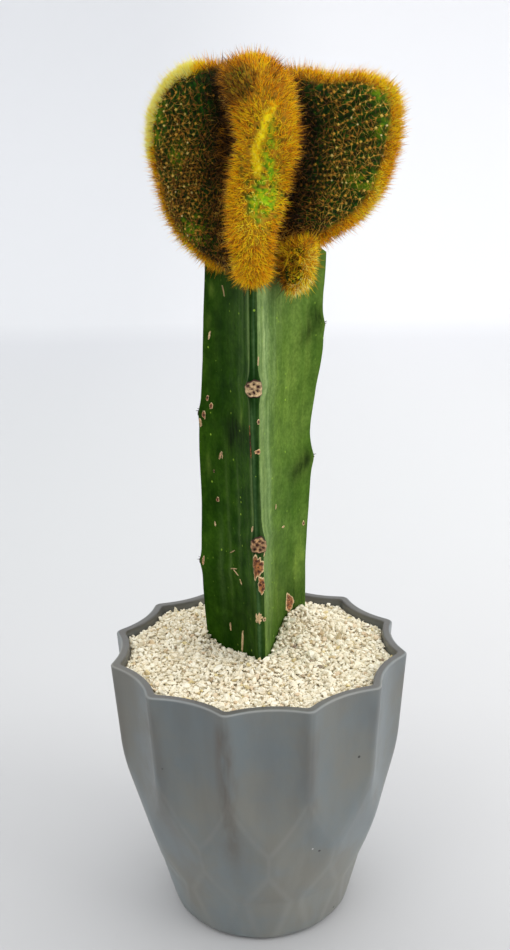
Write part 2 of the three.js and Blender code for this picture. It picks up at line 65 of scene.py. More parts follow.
class Slot(Enum):
    """The record's material slots that the pieces made here use."""

    PLANTER = "planter"
    GRIT = "grit"
    STOCK = "stock_skin"
    SCION = "scion_skin"


# ---------------------------------------------------------------- shapes as arrays


def smooth_ramp(low: float, high: float, value: Array) -> Array:
    """Rises from 0 at low to 1 at high: t*t*(3 - 2t), with t the share of the way, kept in 0 to 1."""
    share = np.clip((value - low) / (high - low), 0, 1)
    return share * share * (3 - 2 * share)


def soft_min(first: Array, second: Array, width: float | Array) -> Array:
    """The smaller of two, rounded: min(a, b) - h*h*w/4, h = max(w - |a - b|, 0) / w, w the width."""
    near = np.maximum(width - np.abs(first - second), 0) / width
    return np.minimum(first, second) - near * near * width / 4


def hump(value: Array, middle: float, spread: float) -> Array:
    """1 at the middle and less beside it: exp(-((value - middle) / spread)^2)."""
    return np.exp(-(((value - middle) / spread) ** 2))


def turn_from(start: float, angle: Array) -> Array:
    """The shortest turn from one heading to others, in degrees from -180 to 180."""
    return (angle - start + 180) % 360 - 180


def ray(angle: Array) -> Array:
    """Flat directions (cos, sin) at angles in radians."""
    return np.stack([np.cos(angle), np.sin(angle)], -1)


def swung(turn: Array, first: Array, second: Array) -> Array:
    """Directions turned from first toward second: cos(turn) * first + sin(turn) * second."""
    return np.cos(turn)[..., None] * first + np.sin(turn)[..., None] * second


def unit(vectors: Array) -> Array:
    """Vectors of length one in the same directions, along the last axis."""
    return vectors / np.maximum(np.linalg.norm(vectors, axis=-1, keepdims=True), 1e-9)


def side_axes(directions: Array) -> tuple[Array, Array]:
    """Two unit vectors square to each direction and to each other.

    Args:
        directions: Unit vectors, (n, 3).

    Returns:
        The two sets of vectors.
    """
    helper = np.where(np.abs(directions[:, 2:]) < 0.9, [[0.0, 0.0, 1.0]], [[1.0, 0.0, 0.0]])
    first = unit(np.cross(helper, directions))
    return first, np.cross(directions, first)


def lattice_noise(points: Array, cell: float, seed: int) -> Array:
    """Smooth noise from -1 to 1: hashed values at the corners of cubic cells, blended by t*t*(3 - 2t).

    Args:
        points: Places, (n, 3).
        cell: Edge of a cell, in the same unit.
        seed: Which noise.

    Returns:
        One value for each place.
    """
    place = points / cell
    base = np.floor(place)
    share = place - base
    share = share * share * (3 - 2 * share)
    total = np.zeros(len(points))
    for corner in range(8):
        step = np.array([corner & 1, corner >> 1 & 1, corner >> 2 & 1])
        key = (base + step).astype(np.int64) + 4096
        mixed = key @ CELL_PRIMES + seed * SEED_PRIME
        mixed = (mixed ^ mixed >> 13) * BLEND_PRIME & LONG_WORD
        value = (mixed ^ mixed >> 16) & WORD
        total += (value / (WORD / 2) - 1) * np.prod(np.where(step, share, 1 - share), axis=1)
    return total


def knot_curve(knots: Sequence[Sequence[float]], at: Array, period: float = 0) -> Array:
    """A smooth curve through knots [position, value...]: cubic pieces with Catmull-Rom slopes.

    Args:
        knots: Rows of position and values, in rising order of position.
        at: Positions to read.
        period: Length after which the curve repeats, or 0 for an open curve.

    Returns:
        The values at each position, one row each (a plain array where a knot has one value).
    """
    table = np.array(knots, float)
    if period:
        lap = [period, *[0] * (table.shape[1] - 1)]
        table = np.vstack([table[-2:] - lap, table, table[:3] + lap])
        at = (at - knots[0][0]) % period + knots[0][0]
    place, values = table[:, 0], table[:, 1:]
    slope = np.gradient(values, place, axis=0) if not period else np.zeros_like(values)
    slope[1:-1] = (values[2:] - values[:-2]) / (place[2:] - place[:-2])[:, None]
    at = np.clip(at, place[0], place[-1])
    span = np.clip(np.searchsorted(place, at, "right") - 1, 0, len(place) - 2)
    width = (place[span + 1] - place[span])[..., None]
    t = (at[..., None] - place[span][..., None]) / width
    result = ((2 * t**3 - 3 * t**2 + 1) * values[span] + (t**3 - 2 * t**2 + t) * width * slope[span]
              + (3 * t**2 - 2 * t**3) * values[span + 1] + (t**3 - t**2) * width * slope[span + 1])
    return result[..., 0] if table.shape[1] == 2 else result


@dataclass
class Shell:
    """A mesh as arrays, in millimetres.

    Attributes:
        points: Corners, (n, 3).
        faces: Index arrays, each (m, k) for m faces of k corners.
        places: Map places of the face corners, (m, k, 2) for each array of faces.
        values: Named numbers, one for each point.
    """

    points: Array
    faces: list[Array]
    places: list[Array] = field(default_factory=list)
    values: dict[str, Array] = field(default_factory=dict)

    def volume(self) -> float:
        """The signed volume: the sum of the tetrahedra from the middle to each face's triangles.

        Returns:
            Cubic millimetres, less than zero where the faces point in.
        """
        middle = self.points.mean(0)
        total = 0.0
        for faces in self.faces:
            for corner in range(1, faces.shape[1] - 1):
                a, b, c = (self.points[faces[:, k]] - middle for k in (0, corner, corner + 1))
                total += float(np.einsum("ij,ij->", a, np.cross(b, c)))
        return total / 6

    def flipped(self) -> Shell:
        """The same shell with its faces pointing the other way."""
        return Shell(self.points, [faces[:, ::-1] for faces in self.faces],
                     [place[:, ::-1] for place in self.places], self.values)

    def outward(self) -> Shell:
        """The same shell with its faces pointing out."""
        return self if self.volume() >= 0 else self.flipped()


def join_shells(shells: Sequence[Shell]) -> Shell:
    """One shell from several that have the same named values.

    Args:
        shells: The parts.

    Returns:
        All the parts in one, with nothing welded.
    """
    starts = np.cumsum([0, *(len(shell.points) for shell in shells)])
    return Shell(
        np.vstack([shell.points for shell in shells]),
        [faces + start for shell, start in zip(shells, starts) for faces in shell.faces],
        [place for shell in shells for place in shell.places],
        {name: np.concatenate([shell.values[name] for shell in shells]) for name in shells[0].values},
    )


def sheet_cells(rows: int, columns: int) -> tuple[Array, Array]:
    """The four-cornered cells of a grid of points, whose last column meets its first.

    Args:
        rows: Rows of points.
        columns: Columns of points.

    Returns:
        Point indices (m, 4), and the corners' map places (m, 4, 2) from 0 to 1.
    """
    row, column = np.meshgrid(np.arange(rows - 1), np.arange(columns), indexing="ij")
    rows_of = np.stack([row, row, row + 1, row + 1], -1).reshape(-1, 4)
    columns_of = np.stack([column, column + 1, column + 1, column], -1).reshape(-1, 4)
    return (rows_of * columns + columns_of % columns,
            np.stack([columns_of / columns, rows_of / (rows - 1)], -1))


def ring_shell(rings: Array, values: dict[str, Array] | None = None) -> Shell:
    """A closed body from rings of points, (rows, columns, 3), with a fan over each end.

    Args:
        rings: The rings in order.
        values: Named numbers as (rows, columns) arrays.

    Returns:
        The shell, with a map across all of 0 to 1 and its two end fans in the map's outer rows.
    """
    rows, columns = rings.shape[:2]
    cells, places = sheet_cells(rows, columns)
    places = places * [1, 0.9] + [0, 0.05]
    column = np.arange(columns)
    after = (column + 1) % columns
    count = rows * columns
    last = (rows - 1) * columns
    low = np.stack([after, column, np.full(columns, count)], 1)
    high = np.stack([column + last, after + last, np.full(columns, count + 1)], 1)
    across = np.stack([(column + 1) / columns, column / columns, (column + 0.5) / columns], 1)
    low_map = np.stack([across, np.broadcast_to([0.05, 0.05, 0.0], across.shape)], -1)
    high_map = np.stack([across[:, [1, 0, 2]], np.broadcast_to([0.95, 0.95, 1.0], across.shape)], -1)
    points = np.vstack([rings.reshape(-1, 3), rings[0].mean(0), rings[-1].mean(0)])
    named = {name: np.concatenate([value.ravel(), [value[0].mean(), value[-1].mean()]])
             for name, value in (values or {}).items()}
    return Shell(points, [cells, low, high], [places, low_map, high_map], named)


def link(name: str, data: bpy.types.ID) -> bpy.types.Object:
    """Puts a new object with the given data into the scene.

    Args:
        name: The object's name.
        data: Its mesh, camera or light.

    Returns:
        The object.
    """
    thing = bpy.data.objects.new(name, data)
    bpy.context.scene.collection.objects.link(thing)
    return thing


def rows(kind: type, *values: tuple) -> tuple:
    """One object of a kind from each row of values."""
    return tuple(kind(*row) for row in values)


def make_piece(name: str, shell: Shell, material: bpy.types.Material, slot: Slot, *nodes: str,
               smooth: bool = True, weld: bool = False) -> None:
    """Makes a shell a piece of the plant, which sits at the origin.

    Args:
        name: The piece's name.
        shell: Its shape in millimetres.
        material: Its finish.
        slot: The record's slot.
        *nodes: CAD nodes that it replaces.
        smooth: Whether its faces are shaded as one curved surface.
        weld: Whether points in the same place become one.
    """
    shell = shell.outward()
    mesh = bpy.data.meshes.new(name)
    mesh.vertices.add(len(shell.points))
    mesh.vertices.foreach_set("co", (shell.points * MM).astype(np.float32).ravel())
    corners = np.concatenate([faces.ravel() for faces in shell.faces])
    counts = np.concatenate([np.full(len(faces), faces.shape[1]) for faces in shell.faces])
    mesh.loops.add(len(corners))
    mesh.loops.foreach_set("vertex_index", corners.astype(np.int32))
    mesh.polygons.add(len(counts))
    starts = np.concatenate([[0], np.cumsum(counts)[:-1]])
    mesh.polygons.foreach_set("loop_start", starts.astype(np.int32))
    mesh.update(calc_edges=True)
    mesh.polygons.foreach_set("use_smooth", np.full(len(counts), smooth))
    if shell.places:
        places = np.concatenate([place.reshape(-1, 2) for place in shell.places])
        mesh.uv_layers.new(name=MAP_NAME).data.foreach_set("uv", places.astype(np.float32).ravel())
    for key, value in shell.values.items():
        mesh.attributes.new(key, "FLOAT", "POINT").data.foreach_set("value", value.astype(np.float32))
    mesh.validate()
    if weld:
        work = bmesh.new()
        work.from_mesh(mesh)
        bmesh.ops.remove_doubles(work, verts=work.verts, dist=WELD_REACH)
        work.to_mesh(mesh)
        work.free()
    mesh.materials.append(material)
    settle(link(name, mesh), slot, *nodes)


def settle(piece: bpy.types.Object, slot: Slot, *nodes: str) -> None:
    """Makes a piece ride on the plant's one body, hides the CAD nodes that it stands for, and logs its slot.

    Args:
        piece: The finished piece.
        slot: The record's slot.
        *nodes: CAD nodes that it replaces.
    """
    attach(piece, "root")
    if nodes:
        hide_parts(*nodes)
    LOG.info("%s: %d faces, %s", piece.name, len(piece.data.polygons), slot.value)


# ---------------------------------------------------------------- shader helpers


class Wiring:
    """Short calls that add and join nodes in one shader tree."""

    def __init__(self, tree: bpy.types.NodeTree) -> None:
        """Keeps the tree."""
        self.tree = tree

    def feed(self, node: bpy.types.Node, inputs: dict) -> bpy.types.Node:
        """Joins or sets a node's inputs.

        Args:
            node: The node.
            inputs: A socket to join, or a number or colour to set, by input name or number.

        Returns:
            The same node.
        """
        for key, value in inputs.items():
            if isinstance(value, bpy.types.NodeSocket):
                self.tree.links.new(value, node.inputs[key])
            else:
                node.inputs[key].default_value = (*value, 1) if isinstance(value, tuple) else value
        return node

    def add(self, kind: str, inputs: dict | None = None, **settings: object) -> bpy.types.Node:
        """Adds a node.

        Args:
            kind: The node type without its ShaderNode prefix.
            inputs: What its inputs get, by name or number.
            **settings: Properties of the node.

        Returns:
            The new node.
        """
        node = self.tree.nodes.new("ShaderNode" + kind)
        for key, value in settings.items():
            setattr(node, key, value)
        return self.feed(node, inputs or {})

    def mix(self, share: object, first: object, second: object, kind: str = "MIX") -> bpy.types.NodeSocket:
        """Blends two colours or colour sockets, the first where share is 0 and the second where it is 1."""
        inputs = {0: share, 6: first, 7: second}
        return self.add("Mix", inputs, data_type="RGBA", blend_type=kind).outputs[2]

    def tinted(self, colour: object, tint: object) -> bpy.types.NodeSocket:
        """A colour multiplied by another."""
        return self.mix(1.0, colour, tint, "MULTIPLY")

    def math(self, kind: str, *values: object) -> bpy.types.NodeSocket:
        """One arithmetic step on sockets or numbers."""
        return self.add("Math", dict(enumerate(values)), operation=kind).outputs[0]

    def times(self, first: object, second: object) -> bpy.types.NodeSocket:
        """The product of two sockets or numbers."""
        return self.math("MULTIPLY", first, second)

    def span(self, value: object, low: float, high: float, start: float = 0, end: float = 1,
             kind: str = "SMOOTHSTEP") -> bpy.types.NodeSocket:
        """Maps a socket's low to start and its high to end, the way between them being the kind."""
        inputs = {"Value": value, "From Min": low, "From Max": high, "To Min": start, "To Max": end}
        return self.add("MapRange", inputs, interpolation_type=kind).outputs[0]

    def fade(self, mask: object, start: float, end: float) -> bpy.types.NodeSocket:
        """Maps a mask's 0 to start and its 1 to end."""
        return self.span(mask, 0.0, 1.0, start, end)

    def ramp(self, value: object, stops: Sequence[tuple[float, Colour]]) -> bpy.types.NodeSocket:
        """Colours by value.

        Args:
            value: Socket that is looked up.
            stops: Positions and their colours.

        Returns:
            The colour's socket.
        """
        node = self.add("ValToRGB", {0: value})
        points = node.color_ramp.elements
        for number, (position, colour) in enumerate(stops):
            point = points[number] if number < 2 else points.new(position)
            point.position, point.color = position, (*colour, 1)
        return node.outputs[0]

    def value(self, name: str) -> bpy.types.NodeSocket:
        """Reads a named number of the mesh's points."""
        return self.add("Attribute", attribute_name=name).outputs["Fac"]

    def noise(self, place: object, scale: object, detail: float,
              roughness: float = 0.5) -> bpy.types.NodeSocket:
        """Layered noise at places: its scale, how many finer layers it has and how strong each is."""
        inputs = {"Vector": place, "Scale": scale, "Detail": detail, "Roughness": roughness}
        return self.add("TexNoise", inputs).outputs[0]


class Paint(Wiring):
    """The tree of one material, painted by its Object coordinates or by its own map."""

    def __init__(self, name: str, on_map: bool = False) -> None:
        """Starts a material.

        Args:
            name: Its name.
            on_map: Whether it is painted by the piece's map.
        """
        self.material = bpy.data.materials.new(name)
        self.material.use_nodes = True
        super().__init__(self.material.node_tree)
        self.place = (self.add("UVMap", uv_map=MAP_NAME).outputs[0] if on_map
                      else self.add("TexCoord").outputs["Object"])

    def axes(self) -> bpy.types.bpy_prop_collection:
        """The places' x, y and z as sockets."""
        return self.add("SeparateXYZ", {0: self.place}).outputs

    def bump(self, height: object, strength: float, distance: float) -> bpy.types.NodeSocket:
        """Surface directions that lean with a height socket, distance being its depth in metres."""
        return self.add("Bump", {"Height": height, "Strength": strength, "Distance": distance}).outputs[0]

    def finish(self, inputs: dict) -> bpy.types.Material:
        """Feeds the Principled shader's inputs by name, and gives the finished material."""
        self.feed(self.tree.nodes["Principled BSDF"], inputs)
        return self.material


class Effects:
    """Shader effects that several finishes share, each a node group that is built once."""

    def __init__(self) -> None:
        """Builds every group."""
        self.mottling = self._mottling()
        self.specks = self._specks()
        self.streaks = self._streaks()

    @staticmethod
    def _group(name: str, inputs: dict[str, str],
               outputs: Sequence[str]) -> tuple[Wiring, dict, bpy.types.Node]:
        """Starts a node group.

        Args:
            name: The group's name.
            inputs: Socket kinds of the inputs by name.
            outputs: Names of the outputs: Color is a colour and Mask a number.

        Returns:
            The group's wiring, its input sockets and the node that its results go to.
        """
        tree = bpy.data.node_groups.new(name, "ShaderNodeTree")
        results = {key: "Color" if key == "Color" else "Float" for key in outputs}
        for way, sockets in (("INPUT", {"Vector": "Vector", **inputs}), ("OUTPUT", results)):
            for key, kind in sockets.items():
                tree.interface.new_socket(name=key, in_out=way, socket_type="NodeSocket" + kind)
        entry, leave = tree.nodes.new("NodeGroupInput"), tree.nodes.new("NodeGroupOutput")
        return Wiring(tree), entry.outputs, leave

    def _mottling(self) -> bpy.types.NodeTree:
        """Cloudy change between two colours: layered noise, stretched to use all the way between.

        Returns:
            The group's tree.
        """
        kinds = {"Scale": "Float", "Dark": "Color", "Light": "Color"}
        wires, given, results = self._group("Mottling", kinds, ("Color", "Mask"))
        mask = wires.span(wires.noise(given["Vector"], given["Scale"], 5.0, 0.6), 0.34, 0.66)
        wires.feed(results, {"Color": wires.mix(mask, given["Dark"], given["Light"]), "Mask": mask})
        return wires.tree

    def _specks(self) -> bpy.types.NodeTree:
        """Scattered spots: round cells, of which Share are kept, with a soft edge at Size of the cell.

        Returns:
            The group's tree.
        """
        kinds = dict.fromkeys(("Scale", "Size", "Share"), "Float")
        wires, given, results = self._group("Specks", kinds, ("Mask",))
        cells = wires.add("TexVoronoi", {"Vector": given["Vector"], "Scale": given["Scale"]})
        chance = wires.add("SeparateColor", {0: cells.outputs["Color"]}).outputs[0]
        kept = wires.math("LESS_THAN", chance, given["Share"])
        spot = wires.math("SUBTRACT", 1.0, wires.math("DIVIDE", cells.outputs["Distance"], given["Size"]))
        wires.feed(results, {"Mask": wires.times(kept, wires.span(spot, 0.0, 0.45))})
        return wires.tree

    def _streaks(self) -> bpy.types.NodeTree:
        """Long marks along Z: noise on a vector whose height is multiplied by Squash.

        Returns:
            The group's tree.
        """
        wires, given, results = self._group("Streaks", dict.fromkeys(("Scale", "Squash"), "Float"), ("Mask",))
        squash = wires.add("CombineXYZ", {0: 1.0, 1: 1.0, 2: given["Squash"]})
        place = wires.add("VectorMath", {0: given["Vector"], 1: squash.outputs[0]}, operation="MULTIPLY")
        noise = wires.noise(place.outputs[0], given["Scale"], 4.0, 0.55)
        wires.feed(results, {"Mask": wires.span(noise, 0.38, 0.66)})
        return wires.tree

    @staticmethod
    def _lay(paint: Paint, group: bpy.types.NodeTree, **inputs: object) -> bpy.types.bpy_prop_collection:
        """Places a group on a material, its inputs by name in small letters, and gives its outputs."""
        given = {"Vector": paint.place} | {key.capitalize(): value for key, value in inputs.items()}
        return paint.add("Group", given, node_tree=group).outputs

    def mottle(self, paint: Paint, dark: Colour, light: Colour,
               scale: float) -> bpy.types.bpy_prop_collection:
        """Cloudy change on a material, as the outputs Color and Mask."""
        return self._lay(paint, self.mottling, scale=scale, dark=dark, light=light)

    def speck(self, paint: Paint, scale: float, size: float, share: float) -> bpy.types.NodeSocket:
        """The mask of scattered spots on a material."""
        return self._lay(paint, self.specks, scale=scale, size=size, share=share)["Mask"]

    def streak(self, paint: Paint, scale: float, squash: float) -> bpy.types.NodeSocket:
        """The mask of long marks on a material."""
        return self._lay(paint, self.streaks, scale=scale, squash=squash)["Mask"]


# ---------------------------------------------------------------- finishes


@dataclass(frozen=True)
class PlanterFinish:
    """Satin moulded plastic in mid grey, with cloudy tones, paler edges that are partly worn and partly
    painted highlight, painted light from the floor that lightens it toward the bottom, brown stains and small
    specks.
    """

    cool: Colour = (0.142, 0.168, 0.176)
    warm: Colour = (0.176, 0.177, 0.156)
    # The paler colour below is for the creases and the rim's outer bevel: partly worn plastic, partly painted
    # highlight.
    edge: Colour = (0.3, 0.3, 0.285)
    lip: Colour = (0.088, 0.083, 0.074)
    stain: Colour = (0.1, 0.08, 0.06)
    dark_speck: Colour = (0.035, 0.033, 0.03)
    glint: Colour = (0.62, 0.62, 0.6)
    # Painted light from the floor: a lightening factor, full up to the first height and gone by the second.
    painted_floor_light: Colour = (1.3, 1.29, 1.28)
    painted_floor_light_heights: tuple[float, float] = (0.02, 0.11)
    streak_stain: float = 0.16
    valley_stain: float = 0.9
    rim_wear_and_highlight: float = 0.45
    roughness: float = 0.4

    def material(self, effects: Effects) -> bpy.types.Material:
        """Builds the material.

        Args:
            effects: The shared effects.

        Returns:
            The planter's material.
        """
        paint = Paint("PlanterPlastic")
        tone = effects.mottle(paint, self.cool, self.warm, scale=22.0)
        streak = effects.streak(paint, scale=70.0, squash=0.25)
        colour = paint.mix(paint.times(streak, self.streak_stain), tone["Color"], self.stain)
        stain = paint.times(paint.value("valley"), paint.times(streak, self.valley_stain))
        colour = paint.mix(stain, colour, self.stain)
        lip = paint.times(paint.value("lip"), paint.fade(tone["Mask"], 1.0, 0.65))
        colour = paint.mix(lip, colour, self.lip)
        # Paler creases and rim bevel: partly worn plastic, partly painted highlight.
        wear_and_highlight = paint.times(paint.value("crease"), paint.fade(tone["Mask"], 0.03, 0.16))
        wear_and_highlight = paint.math("ADD", wear_and_highlight, paint.times(paint.value("rim"), self.rim_wear_and_highlight))
        colour = paint.mix(wear_and_highlight, colour, self.edge)
        # Painted light from the floor: the planter is made lighter toward the bottom.
        painted_floor_light = paint.mix(paint.span(paint.axes()[2], *self.painted_floor_light_heights), self.painted_floor_light, (1.0, 1.0, 1.0))
        colour = paint.tinted(colour, painted_floor_light)
        colour = paint.mix(effects.speck(paint, scale=110.0, size=0.1, share=0.1), colour, self.dark_speck)
        colour = paint.mix(effects.speck(paint, scale=85.0, size=0.05, share=0.07), colour, self.glint)
        roughness = paint.fade(tone["Mask"], self.roughness - 0.05, self.roughness + 0.09)
        grain = paint.bump(paint.noise(paint.place, 900.0, detail=2.0), strength=0.1, distance=0.0004)
        return paint.finish({"Base Color": colour, "Roughness": roughness, "Normal": grain})


@dataclass(frozen=True)
class MixFinish:
    """Damp potting mix: dark peat with paler shreds of bark and a few white grains."""

    peat: Colour = (0.018, 0.011, 0.007)
    bark: Colour = (0.075, 0.042, 0.022)
    grain: Colour = (0.45, 0.42, 0.36)
    roughness: float = 0.95

    def material(self, effects: Effects) -> bpy.types.Material:
        """Builds the material.

        Args:
            effects: The shared effects.

        Returns:
            The potting mix's material.
        """
        paint = Paint("PottingMix")
        tone = effects.mottle(paint, self.peat, self.bark, scale=320.0)
        colour = paint.mix(effects.speck(paint, scale=260.0, size=0.3, share=0.06), tone["Color"], self.grain)
        crumbs = paint.bump(tone["Mask"], strength=0.8, distance=0.0012)
        return paint.finish({"Base Color": colour, "Roughness": self.roughness, "Normal": crumbs})


@dataclass(frozen=True)
class GritFinish:
    """Crushed white stone: each stone's tone is its place across the map, its veins run over the map."""

    vein: Colour = (0.62, 0.52, 0.36)
    vein_strength: float = 0.22
    tones: tuple[tuple[float, Colour], ...] = (
        (0.0, (0.7, 0.61, 0.43)), (0.25, (0.86, 0.79, 0.61)), (0.55, (0.92, 0.88, 0.73)),
        (0.74, (0.82, 0.71, 0.52)), (0.84, (0.62, 0.46, 0.29)), (0.9, (0.74, 0.62, 0.3)),
        (0.955, (0.3, 0.21, 0.14)), (1.0, (0.025, 0.02, 0.018)))
    roughness: float = 0.82

    def material(self, effects: Effects) -> bpy.types.Material:
        """Builds the material.

        Args:
            effects: The shared effects.

        Returns:
            The stones' material.
        """
        paint = Paint("CrushedGrit", on_map=True)
        tone = paint.ramp(paint.axes()[0], self.tones)
        veins = effects.mottle(paint, (0.0, 0.0, 0.0), (1.0, 1.0, 1.0), scale=38.0)["Mask"]
        colour = paint.mix(paint.times(veins, self.vein_strength), tone, self.vein)
        return paint.finish({"Base Color": colour, "Roughness": self.roughness})


@dataclass(frozen=True)
class BedFinish:
    """The grit under the top stones: shaded cream grains."""

    shade: Colour = (0.52, 0.43, 0.27)
    grain: Colour = (0.86, 0.77, 0.56)
    grain_scale: float = 420.0
    roughness: float = 0.9

    def material(self) -> bpy.types.Material:
        """Builds the material.

        Returns:
            The bed's material.
        """
        paint = Paint("GritBed")
        cells = paint.add("TexVoronoi", {"Vector": paint.place, "Scale": self.grain_scale})
        edge = paint.span(cells.outputs["Distance"], 0.25, 0.62)
        grains = paint.bump(paint.math("SUBTRACT", 1.0, edge), strength=0.9, distance=0.001)
        return paint.finish({"Base Color": paint.mix(edge, self.grain, self.shade),
                             "Roughness": self.roughness, "Normal": grains})


@dataclass(frozen=True)
class StockFinish:
    """Waxy green skin: dark on the left wing, paler and greyer on the right, that paleness partly painted
    sheen; a pale waxy coat that is partly painted sheen, painted shade in dark patches, and a dark strip down
    the ridge.
    """

    left: Colour = (0.012, 0.044, 0.002)
    left_light: Colour = (0.03, 0.082, 0.005)
    # The right wing's paler colours are partly painted sheen.
    right: Colour = (0.088, 0.165, 0.026)
    right_dark: Colour = (0.052, 0.116, 0.014)
    strip: Colour = (0.006, 0.03, 0.004)
    strip_middle: Colour = (0.075, 0.15, 0.055)
    # The pale waxy coat below is partly painted sheen.
    bloom_and_sheen: Colour = (0.26, 0.37, 0.145)
    lime: Colour = (0.16, 0.26, 0.04)
    # The dark colour below is painted shade.
    deep: Colour = (0.006, 0.013, 0.003)
    speck: Colour = (0.3, 0.48, 0.05)
    vein_tints: tuple[Colour, Colour] = ((0.91, 0.93, 0.92), (1.22, 1.13, 1.17))
    grains: tuple[tuple[float, Colour, Colour], ...] = (
        (150.0, (0.84, 0.86, 0.84), (1.14, 1.12, 1.1)), (620.0, (0.84, 0.87, 0.84), (1.16, 1.13, 1.16)))
    roughness: float = 0.38
    bloom_and_sheen_roughness: float = 0.54
    shine: float = 0.008

    def material(self, effects: Effects) -> bpy.types.Material:
        """Builds the material.

        Args:
            effects: The shared effects.

        Returns:
            The stock's skin.
        """
        paint = Paint("StockSkin")
        left = effects.mottle(paint, self.left, self.left_light, scale=60.0)["Color"]
        right = effects.mottle(paint, self.right_dark, self.right, scale=45.0)["Color"]
        streak = effects.streak(paint, scale=330.0, squash=0.06)
        broad = effects.streak(paint, scale=120.0, squash=0.12)
        veins = effects.streak(paint, scale=170.0, squash=0.045)
        colour = paint.mix(paint.value("rightness"), left, right)
        lime = paint.times(paint.value("lime"), paint.fade(broad, 0.4, 1.0))
        colour = paint.mix(lime, colour, self.lime)
        # Pale waxy coat, partly painted sheen.
        bloom_and_sheen_mask = paint.times(paint.value("bloom_and_sheen"), paint.fade(streak, 0.55, 1.0))
        bloom_and_sheen_mask = paint.times(bloom_and_sheen_mask, paint.fade(broad, 0.6, 1.0))
        colour = paint.mix(bloom_and_sheen_mask, colour, self.bloom_and_sheen)
        # Painted shade in dark patches.
        deep = paint.times(paint.value("deep"), paint.fade(streak, 0.6, 1.0))
        colour = paint.mix(deep, colour, self.deep)
        colour = paint.tinted(colour, paint.mix(veins, *self.vein_tints))
        dark = paint.times(paint.span(paint.value("strip"), 0.3, -0.35), paint.fade(streak, 0.95, 0.72))
        colour = paint.mix(dark, colour, self.strip)
        middle = paint.times(paint.value("strip_line"), paint.fade(streak, 0.5, 1.0))
        colour = paint.mix(middle, colour, self.strip_middle)
        for scale, low, high in self.grains:
            colour = paint.tinted(colour, effects.mottle(paint, low, high, scale)["Color"])
        specks = effects.speck(paint, scale=270.0, size=0.18, share=0.3)
        colour = paint.mix(paint.times(specks, paint.fade(broad, 0.1, 0.85)), colour, self.speck)
        pores = paint.noise(paint.place, 1300.0, detail=2.0)
        height = paint.math("ADD", paint.times(streak, 0.5), paint.times(pores, 0.5))
        return paint.finish({
            "Base Color": colour, "Roughness": paint.fade(bloom_and_sheen_mask, self.roughness, self.bloom_and_sheen_roughness),
            "Normal": paint.bump(height, strength=0.18, distance=0.0005), "Specular IOR Level": self.shine})


@dataclass(frozen=True)
class CorkFinish:
    """Dry corky tissue of scars and areole pads: tan rims, and brown to black pits."""

    rim: Colour = (0.9, 0.67, 0.36)
    middle: Colour = (0.5, 0.19, 0.05)
    shade: Colour = (0.07, 0.018, 0.007)
    pit: Colour = (0.045, 0.008, 0.005)
    roughness: float = 0.85

    def material(self, effects: Effects) -> bpy.types.Material:
        """Builds the material.

        Args:
            effects: The shared effects.

        Returns:
            The cork's material.
        """
        paint = Paint("Cork")
        tone = effects.mottle(paint, self.shade, self.middle, scale=1100.0)
        pale = paint.times(paint.value("rim"), paint.fade(tone["Mask"], 0.55, 1.0))
        colour = paint.mix(pale, tone["Color"], self.rim)
        colour = paint.mix(paint.value("pit"), colour, self.pit)
        crust = paint.bump(tone["Mask"], strength=0.6, distance=0.0004)
        return paint.finish({"Base Color": colour, "Roughness": self.roughness, "Normal": crust})


@dataclass(frozen=True)
class FleshFinish:
    """The scion's green skin between its bristles: lighter on each tubercle, with painted shade in the gaps
    between tubercles and in the folds near other fans.
    """

    tubercle: Colour = (0.034, 0.14, 0.01)
    # The gap and fold colours below are painted shade: between tubercles, and in the folds near other fans.
    gap: Colour = (0.004, 0.013, 0.002)
    fold: Colour = (0.01, 0.006, 0.003)
    rim: Colour = (0.45, 0.225, 0.012)
    fresh: Colour = (0.38, 0.58, 0.008)
    fresh_dark: Colour = (0.09, 0.28, 0.008)
    young: Colour = (0.92, 0.76, 0.01)
    tubercle_strength: float = 0.45
    rim_strength: float = 0.85
    roughness: float = 0.55
    shine: float = 0.05

    def material(self, effects: Effects) -> bpy.types.Material:
        """Builds the material.

        Args:
            effects: The shared effects.

        Returns:
            The flesh's material.
        """
        paint = Paint("ScionFlesh")
        tone = effects.mottle(paint, self.gap, self.tubercle, scale=130.0)["Color"]
        fresh = effects.mottle(paint, self.fresh_dark, self.fresh, scale=480.0)["Color"]
        tubercle = paint.value("tubercle")
        # Painted shade in the gaps between tubercles.
        colour = paint.mix(tubercle, self.gap, tone)
        colour = paint.mix(paint.times(tubercle, self.tubercle_strength), colour, self.tubercle)
        colour = paint.mix(paint.times(paint.value("rim"), self.rim_strength), colour, self.rim)
        # The fold layer is painted shade near the other fans.
        for name, layer in (("fresh", fresh), ("fold", self.fold), ("young", self.young)):
            colour = paint.mix(paint.value(name), colour, layer)
        return paint.finish({"Base Color": colour, "Roughness": self.roughness,
                             "Specular IOR Level": self.shine})


FACE_TINTS = (
    (0.0, (0.006, 0.004, 0.003)), (0.16, (0.022, 0.012, 0.007)), (0.32, (0.085, 0.04, 0.016)),
    (0.46, (0.26, 0.11, 0.022)), (0.6, (0.52, 0.23, 0.03)), (0.74, (0.78, 0.43, 0.055)),
    (0.87, (0.9, 0.66, 0.14)), (1.0, (0.95, 0.85, 0.42)))


